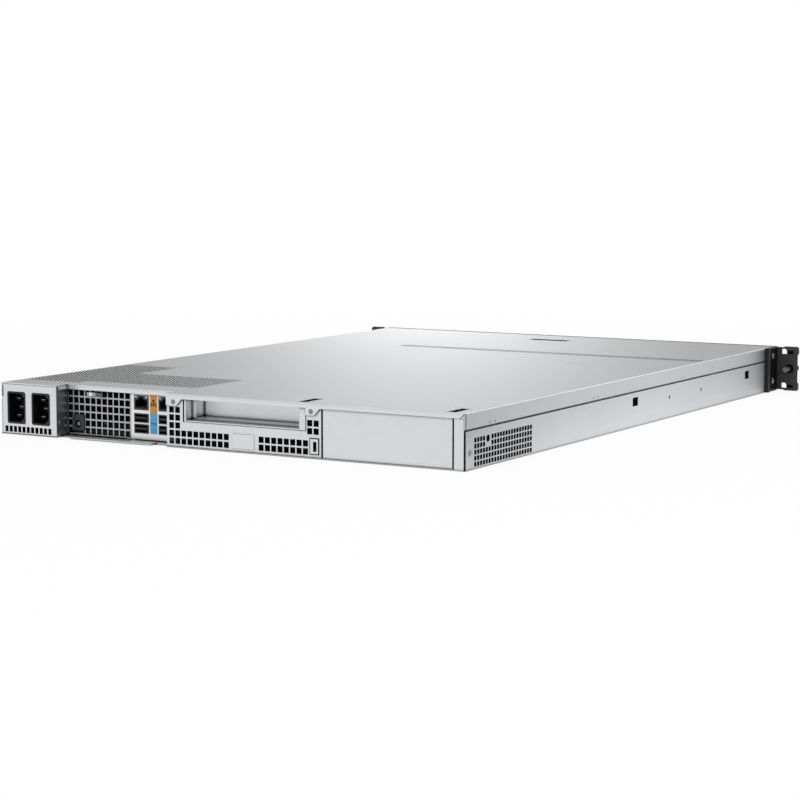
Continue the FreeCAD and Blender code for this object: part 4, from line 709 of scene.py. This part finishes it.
def round_corner(mesh, across, inward, height, rise):
    """Fill one square corner of a hole up to a round one, in thin steps."""
    for step in range(INLET_STEPS):
        near, far = INLET_RADIUS * step / INLET_STEPS, INLET_RADIUS * (step + 1) / INLET_STEPS
        from_centre = INLET_RADIUS - (near + far) / 2
        reach = INLET_RADIUS - math.sqrt(INLET_RADIUS ** 2 - from_centre ** 2)
        sides = sorted((across, across + inward * reach))
        levels = sorted((height + rise * near, height + rise * far))
        add_block(mesh, (sides[0], REAR - PLATE, levels[0]), (sides[1], REAR, levels[1]))


class RACK_OT_inlet_corners(bpy.types.Operator):
    """Round the corners of the two holes for the power inlets in the supply's rear face"""
    bl_idname = "rack.inlet_corners"
    bl_label = "Inlet corners"

    def execute(self, context):
        corners = bmesh.new()
        for outer in INLET_OUTER:
            for across, inward in ((outer - INLET_WIDE, 1), (outer, -1)):
                for height, rise in zip(INLET_LEVELS, (1, -1)):
                    round_corner(corners, across, inward, height, rise)
        piece("inlet_corners", corners, finishes()["rear"], "chassis")
        return {"FINISHED"}


BAR_SIZE = (300 * MM, 1.36 * MM, 0.94 * MM)
BAR_LEVEL = TOP - 0.5 * MM
FIELD_MARGIN = Vector((0.5 * MM, 0.5 * MM, 0))
SEAM_PLACE = (-215.9, 0.03, 40.75)
SEAM_SLOPE = 45.7
SEAM_SIZE = (5.7 * MM, 0.04 * MM, 0.55 * MM)


def add_bar(mesh, middle, angle, axis, size):
    """A bar of the given size about its middle, turned by an angle in degrees."""
    turn = Matrix.Rotation(math.radians(angle), 4, axis)
    place = Matrix.Translation(middle) @ turn @ Matrix.Diagonal((*size, 1))
    bmesh.ops.create_cube(mesh, size=1.0, matrix=place)


def slanting_bars(mesh, low, high):
    """Bars between a field's slanting rows of holes, cut off just past the field's edges."""
    field = bmesh.new()
    middle = (low + high) / 2
    rows = math.floor((low.x + low.y - FIELD_START) / FIELD_PITCH)
    total = FIELD_START + (rows + 0.5) * FIELD_PITCH
    while total < high.x + high.y:
        shift = (total - middle.x - middle.y) / 2
        add_bar(field, (middle.x + shift, middle.y + shift, BAR_LEVEL), 135, "Z", BAR_SIZE)
        total += FIELD_PITCH
    for axis in (Vector((1, 0, 0)), Vector((0, 1, 0))):
        for corner, outward in ((low - FIELD_MARGIN, -axis), (high + FIELD_MARGIN, axis)):
            bmesh.ops.bisect_plane(field, geom=[*field.verts, *field.edges, *field.faces],
                                   plane_co=corner, plane_no=outward, clear_outer=True)
    cut = bpy.data.meshes.new("field")
    field.to_mesh(cut)
    field.free()
    mesh.from_mesh(cut)
    bpy.data.meshes.remove(cut)


class RACK_OT_cover_bars(bpy.types.Operator):
    """Lay the slanting bars across the cover's punched fields, and a black strip of painted shade in the
    open seam of its folded corner
    """
    bl_idname = "rack.cover_bars"
    bl_label = "Cover bars"

    def execute(self, context):
        bars = bmesh.new()
        for low, high in COVER_FIELDS:
            slanting_bars(bars, Vector(spot(*low, 0)), Vector(spot(*high, 0)))
        piece("cover_field_bars", bars, finishes()["cover"], "cover")
        # Painted shade: a black strip, in the black cap finish, in the open seam of the folded corner.
        seam = bmesh.new()
        add_bar(seam, spot(*SEAM_PLACE), SEAM_SLOPE, "Y", SEAM_SIZE)
        piece("cover_corner_seam_shade", seam, finishes()["cap"], "cover")
        return {"FINISHED"}


class RACK_OT_port_labels(bpy.types.Operator):
    """Lay the two printed colour strips between the ports, with a generic network sign on one"""
    bl_idname = "rack.port_labels"
    bl_label = "Port labels"

    def execute(self, context):
        made = finishes()
        low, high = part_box("port_stacks")
        middle = (low[0] + high[0]) / 2
        half = 3.4 * MM
        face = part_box("io_shield")[1][1]
        skin = 0.15 * MM
        for name, bottom, top, finish in (("network_label", 23.3, 39.0, "upper_label"),
                                          ("serial_label", 7.2, 23.3, "lower_label")):
            mesh = bmesh.new()
            add_block(mesh, (middle - half, face, bottom * MM), (middle + half, face + skin, top * MM))
            piece(name, mesh, made[finish], "chassis")
        sign = bmesh.new()
        front = face + skin

        def mark(left, right, bottom, top):
            add_block(sign, (middle + left * MM, front, bottom * MM),
                      (middle + right * MM, front + 0.05 * MM, top * MM))

        mark(-1.1, 1.1, 33.2, 35.0)
        mark(-0.3, 0.3, 32.2, 33.3)
        mark(-2.3, 2.3, 31.7, 32.3)
        for across in (-2.0, 0.0, 2.0):
            mark(across - 0.3, across + 0.3, 31.0, 31.8)
            mark(across - 0.75, across + 0.75, 29.5, 31.1)
        piece("network_sign", sign, made["ink"], "chassis")
        sign = bmesh.new()
        mark(-2.5, 2.3, 15.2, 15.7)
        mark(-2.7, -1.8, 14.8, 16.0)
        mark(-0.1, 1.1, 16.2, 16.5)
        mark(-0.9, 0.4, 14.3, 14.6)
        mark(1.9, 2.5, 14.9, 16.0)
        piece("serial_bus_sign", sign, made["blue_ink"], "chassis")
        return {"FINISHED"}


BOARD_CHIPS = (    # across, along, wide, deep and tall, in millimetres from the board's corner
    (16, 205, 27, 27, 2.2), (52, 232, 14, 14, 1.5), (20, 260, 20, 12, 1.6), (60, 270, 9, 9, 1.4),
    (210, 228, 12, 12, 1.4), (236, 215, 16, 10, 1.4), (262, 232, 9, 9, 1.2), (150, 8, 10, 8, 1.2),
    (180, 12, 8, 8, 1.2), (176, 300, 9, 6, 1.2),
)


class RACK_OT_board_components(bpy.types.Operator):
    """Set the capacitors, coils, chips, sockets and battery on the board"""
    bl_idname = "rack.board_components"
    bl_label = "Board components"

    def execute(self, context):
        made = finishes()
        low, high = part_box("mainboard")
        top = high[2]
        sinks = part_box("heatsinks")
        cans, coils, chips, housings, cells = (bmesh.new() for _ in range(5))
        for row in range(2):
            for number in range(11):
                across = sinks[0][0] + (8 + number * 15) * MM
                along = sinks[1][1] + (9 + row * 10) * MM
                add_rod(cans, "z", (across, along, top), 3.4 * MM, 9 * MM, 14)
        for number in range(12):
            across = sinks[0][0] + (3 + number * 13.6) * MM
            add_block(coils, (across, sinks[0][1] - 14 * MM, top),
                      (across + 9 * MM, sinks[0][1] - 5 * MM, top + 6 * MM), 1 * MM, 1)
        for across, along, wide, deep, tall in BOARD_CHIPS:
            add_block(chips, (low[0] + across * MM, low[1] + along * MM, top),
                      (low[0] + (across + wide) * MM, low[1] + (along + deep) * MM, top + tall * MM),
                      0.3 * MM, 1)
        for number in range(6):
            across = low[0] + (96 + (number % 3) * 16) * MM
            along = low[1] + (18 + (number // 3) * 22) * MM
            add_block(housings, (across, along, top),
                      (across + 12 * MM, along + 15 * MM, top + 7 * MM), 0.4 * MM, 1)
            add_block(housings, (across + 2 * MM, along - 1 * MM, top),
                      (across + 10 * MM, along + 1 * MM, top + 4 * MM))
        add_rod(cells, "z", (low[0] + 270 * MM, low[1] + 262 * MM, top + 2 * MM), 10 * MM, 3.2 * MM, 40)
        add_block(housings, (low[0] + 258 * MM, low[1] + 250 * MM, top),
                  (low[0] + 282 * MM, low[1] + 274 * MM, top + 2 * MM), 0.5 * MM, 1)
        piece("board_capacitors", cans, made["extruded"], "chassis", smooth=False)
        piece("board_coils", coils, made["rotor"], "chassis")
        piece("board_chips", chips, made["inlet"], "chassis")
        piece("board_sockets", housings, made["latch"], "chassis")
        piece("board_battery", cells, made["stamped"], "chassis")
        return {"FINISHED"}


class RACK_OT_memory_chips(bpy.types.Operator):
    """Set the chips on both faces of the memory modules and the gold edge contacts below"""
    bl_idname = "rack.memory_chips"
    bl_label = "Memory chips"

    def execute(self, context):
        made = finishes()
        low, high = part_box("memory_modules")
        chips = bmesh.new()
        rows = 8
        pitch = (high[0] - low[0] - 1.4 * MM) / (rows - 1)
        for row in range(rows):
            middle = low[0] + 0.7 * MM + row * pitch
            for number in range(9):
                along = low[1] + (6 + number * 13.6) * MM
                for side in (-1, 1):
                    near, far = sorted((middle + side * 0.7 * MM, middle + side * 1.8 * MM))
                    add_block(chips, (near, along, low[2] + 11 * MM),
                              (far, along + 10.5 * MM, high[2] - 4 * MM))
        piece("memory_chips", chips, made["inlet"], "chassis")
        return {"FINISHED"}


class RACK_OT_drive_details(bpy.types.Operator):
    """Give each drive its pressed lid and screws, and each tray its lamps"""
    bl_idname = "rack.drive_details"
    bl_label = "Drive and tray details"

    def execute(self, context):
        made = finishes()
        for number in (1, 2, 3):
            low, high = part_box(f"drive_{number}")
            middle = (low[0] + high[0]) / 2
            body = f"bay_{number}"
            lid = bmesh.new()
            add_block(lid, (low[0] + 2.5 * MM, low[1] + 3 * MM, high[2] - 0.2 * MM),
                      (high[0] - 2.5 * MM, high[1] - 20 * MM, high[2] + 0.35 * MM), 0.3 * MM)
            hub = (middle, low[1] + 56 * MM)
            add_rod(lid, "z", (*hub, high[2] + 0.3 * MM), 38 * MM, 0.2 * MM, 64, 37 * MM)
            add_rod(lid, "z", (*hub, high[2] + 0.45 * MM), 9 * MM, 0.15 * MM, 40, 8.5 * MM)
            piece(f"drive_{number}_lid", lid, made["stamped"], body)
            screws = bmesh.new()
            for across in (low[0] + 6 * MM, high[0] - 6 * MM):
                for along in (8, 62, 118):
                    add_rod(screws, "z", (across, low[1] + along * MM, high[2] + 0.3 * MM),
                            2 * MM, 0.3 * MM, 16)
            piece(f"drive_{number}_screws", screws, made["bolt"], body)
            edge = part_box(f"carrier_{number}")
            lamps = bmesh.new()
            for along in (10, 5.5):
                add_rod(lamps, "y", (edge[1][0] - along * MM, edge[0][1] + 3.5 * MM, 15.6 * MM), 0.9 * MM,
                        0.9 * MM, 16)
            piece(f"tray_{number}_lamps", lamps, made["key"], body)
        return {"FINISHED"}


class RACK_OT_button_signs(bpy.types.Operator):
    """Print the common power sign on the power button"""
    bl_idname = "rack.button_signs"
    bl_label = "Button signs"

    def execute(self, context):
        made = finishes()
        low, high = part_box("power_button")
        middle = ((low[0] + high[0]) / 2, low[1], (low[2] + high[2]) / 2)
        sign = bmesh.new()
        steps = 20
        for step in range(steps):
            angle = math.radians(35 + step * 290 / (steps - 1))
            across = middle[0] + math.sin(angle) * 2.1 * MM
            up = middle[2] + math.cos(angle) * 2.1 * MM
            add_rod(sign, "y", (across, middle[1] - 0.03 * MM, up), 0.32 * MM, 0.1 * MM, 8)
        add_block(sign, (middle[0] - 0.25 * MM, middle[1] - 0.03 * MM, middle[2] + 0.4 * MM),
                  (middle[0] + 0.25 * MM, middle[1] + 0.07 * MM, middle[2] + 2.6 * MM))
        piece("power_sign", sign, made["latch"], "power_key")
        return {"FINISHED"}


class RACK_OT_stage(bpy.types.Operator):
    """Pale floor, soft studio light and the camera"""
    bl_idname = "rack.stage"
    bl_label = "Stage"

    def execute(self, context):
        floor = bmesh.new()
        bmesh.ops.create_grid(floor, x_segments=1, y_segments=1, size=8.0)
        data = bpy.data.meshes.new("floor")
        floor.to_mesh(data)
        floor.free()
        ground = bpy.data.objects.new("floor", data)
        ground.location.z = -0.0005
        ground.data.materials.append(floor_finish())
        context.scene.collection.objects.link(ground)
        context.scene.collection.objects.link(reflector())
        for name, place, aim, size, energy in LAMPS:
            lamp = bpy.data.lights.new(name, "AREA")
            lamp.shape = "RECTANGLE"
            lamp.size, lamp.size_y = size
            lamp.energy = energy
            holder = bpy.data.objects.new(name, lamp)
            holder.location = place
            holder.rotation_euler = (Vector(aim) - Vector(place)).to_track_quat("-Z", "Y").to_euler()
            holder.visible_camera = False
            context.scene.collection.objects.link(holder)
        set_world(context.scene)
        camera = bpy.data.cameras.new("camera")
        camera.lens = 101.44
        camera.sensor_width = 36
        camera.clip_start = 0.05
        camera.clip_end = 50
        holder = bpy.data.objects.new("camera", camera)
        holder.location = CAMERA_PLACE
        turn = Vector(CAMERA_WAY).to_track_quat("-Z", "Y") @ Quaternion((0, 0, 1), CAMERA_ROLL)
        holder.rotation_euler = turn.to_euler()
        context.scene.collection.objects.link(holder)
        context.scene.camera = holder
        context.scene.view_settings.view_transform = "Standard"
        return {"FINISHED"}


CAMERA_PLACE = (-0.99495, 1.77205, 0.241)
CAMERA_WAY = (0.495138, -0.861346, -0.113673)
CAMERA_ROLL = 0.00119
LAMPS = (
    ("overhead_softbox", (-0.6, 0.6, 2.4), (0.0, 0.0, 0.0), (2.6, 2.6), 22.0),
    ("side_softbox", (-2.6, 0.7, 0.9), (0.0, 0.0, 0.0), (1.6, 1.2), 10.0),
    ("edge_softbox", (-0.9, -3.0, 1.7), (-0.2, 0.0, 0.0), (1.6, 0.8), 8.0),
)
CARD_AWAY = 3.0
CARD_SIZE = (3.0, 0.6)


def reflector():
    """The glowing card beyond the front that draws the soft bright patch on the cover."""
    card = bmesh.new()
    add_block(card, (-CARD_SIZE[0] / 2, -0.01, 0.0), (CARD_SIZE[0] / 2, 0.01, CARD_SIZE[1]))
    data = bpy.data.meshes.new("reflector")
    card.to_mesh(data)
    card.free()
    data.materials.append(card_glow())
    way = Vector((CAMERA_WAY[0], CAMERA_WAY[1], 0.0)).normalized()
    made = bpy.data.objects.new("reflector", data)
    made.location = Vector((CAMERA_PLACE[0], CAMERA_PLACE[1], 0.0)) + way * (CARD_AWAY + 1.9)
    made.rotation_euler.z = math.atan2(way.y, way.x) - math.pi / 2
    made.visible_camera = False
    made.visible_shadow = False
    made.visible_diffuse = False
    return made


def card_glow():
    """A glow that fades to both sides and upward, so that the cover's sheen has no hard edge."""
    made, tree = new_material("Reflector glow")
    place = add_node(tree, "ShaderNodeTexCoord").outputs["Object"]
    parts = add_node(tree, "ShaderNodeSeparateXYZ", {0: place})
    spread = reckon(tree, "DIVIDE", reckon(tree, "SUBTRACT", parts.outputs["X"], 0.06), 0.42)
    square = reckon(tree, "MULTIPLY", spread, spread)
    bell = reckon(tree, "EXPONENT", reckon(tree, "MULTIPLY", square, -1.0))
    fade = add_node(tree, "ShaderNodeMapRange", {"Value": parts.outputs["Z"], "From Min": 0.03,
                                                 "From Max": 0.36, "To Min": 1.0, "To Max": 0.0})
    strength = reckon(tree, "MULTIPLY_ADD", reckon(tree, "MULTIPLY", bell, fade.outputs[0]), 4.1, 0.32)
    glow = add_node(tree, "ShaderNodeEmission", {"Color": (1, 1, 1, 1), "Strength": strength})
    add_node(tree, "ShaderNodeOutputMaterial", {"Surface": glow.outputs[0]})
    return made


def floor_finish():
    """White seamless paper: to the eye it is the backdrop's white, with a faint contact shadow."""
    made, tree = new_material("White seamless paper")
    path = add_node(tree, "ShaderNodeLightPath")
    seen = reckon(tree, "MAXIMUM", path.outputs["Is Camera Ray"], path.outputs["Is Glossy Ray"])
    clear = reckon(tree, "MAXIMUM", seen, path.outputs["Is Transmission Ray"])
    place = add_node(tree, "ShaderNodeTexCoord").outputs["Object"]
    away = add_node(tree, "ShaderNodeVectorMath", {0: place}, operation="LENGTH")
    near = add_node(tree, "ShaderNodeMapRange", {"Value": away.outputs["Value"], "From Min": 0.4,
                                                 "From Max": 1.4, "To Min": 0.88, "To Max": 1.0})
    share = reckon(tree, "MULTIPLY", clear, near.outputs[0])
    paper = add_node(tree, "ShaderNodeBsdfDiffuse", {"Color": (0.9, 0.9, 0.9, 1)})
    white = add_node(tree, "ShaderNodeEmission", {"Color": (1, 1, 1, 1), "Strength": 1.0})
    mixed = add_node(tree, "ShaderNodeMixShader", {0: share, 1: paper.outputs[0],
                                                   2: white.outputs[0]})
    add_node(tree, "ShaderNodeOutputMaterial", {"Surface": mixed.outputs[0]})
    return made


def set_world(scene):
    """White surroundings for the eye, and a softer grey level in the light they give."""
    world = bpy.data.worlds.new("Studio")
    world.use_nodes = True
    tree = world.node_tree
    tree.nodes.clear()
    path = add_node(tree, "ShaderNodeLightPath")
    seen = reckon(tree, "MAXIMUM", path.outputs["Is Camera Ray"], path.outputs["Is Transmission Ray"])
    level = add_node(tree, "ShaderNodeMapRange", {"Value": seen, "To Min": 0.69, "To Max": 1.0})
    sky = add_node(tree, "ShaderNodeBackground", {"Color": (1, 1, 1, 1), "Strength": level.outputs[0]})
    add_node(tree, "ShaderNodeOutputWorld", {"Surface": sky.outputs[0]})
    scene.world = world


PIECES = (RACK_OT_case_finish, RACK_OT_port_details, RACK_OT_inlet_corners, RACK_OT_cover_bars,
          RACK_OT_port_labels, RACK_OT_board_components, RACK_OT_memory_chips,
          RACK_OT_drive_details, RACK_OT_button_signs, RACK_OT_stage)


class RACK_PT_parts(bpy.types.Panel):
    bl_label = "Rack server"
    bl_idname = "RACK_PT_parts"
    bl_space_type = "VIEW_3D"
    bl_region_type = "UI"
    bl_category = "Rack Server"

    def draw(self, context):
        for settings in (context.scene.rack_finish, context.scene.rack_sizes):
            for name in settings.__annotations__:
                self.layout.prop(settings, name)
        for operator in PIECES:
            self.layout.operator(operator.bl_idname)


CLASSES = (RackFinishSettings, RackSizeSettings, *PIECES, RACK_PT_parts)


def register():
    for item in CLASSES:
        bpy.utils.register_class(item)
    bpy.types.Scene.rack_finish = bpy.props.PointerProperty(type=RackFinishSettings)
    bpy.types.Scene.rack_sizes = bpy.props.PointerProperty(type=RackSizeSettings)


def unregister():
    del bpy.types.Scene.rack_sizes
    del bpy.types.Scene.rack_finish
    for item in reversed(CLASSES):
        bpy.utils.unregister_class(item)


def main():
    """Register the classes, then make every piece in order."""
    register()
    for operator in PIECES:
        group, name = operator.bl_idname.split(".")
        getattr(getattr(bpy.ops, group), name)()


if __name__ == "__main__":
    main()
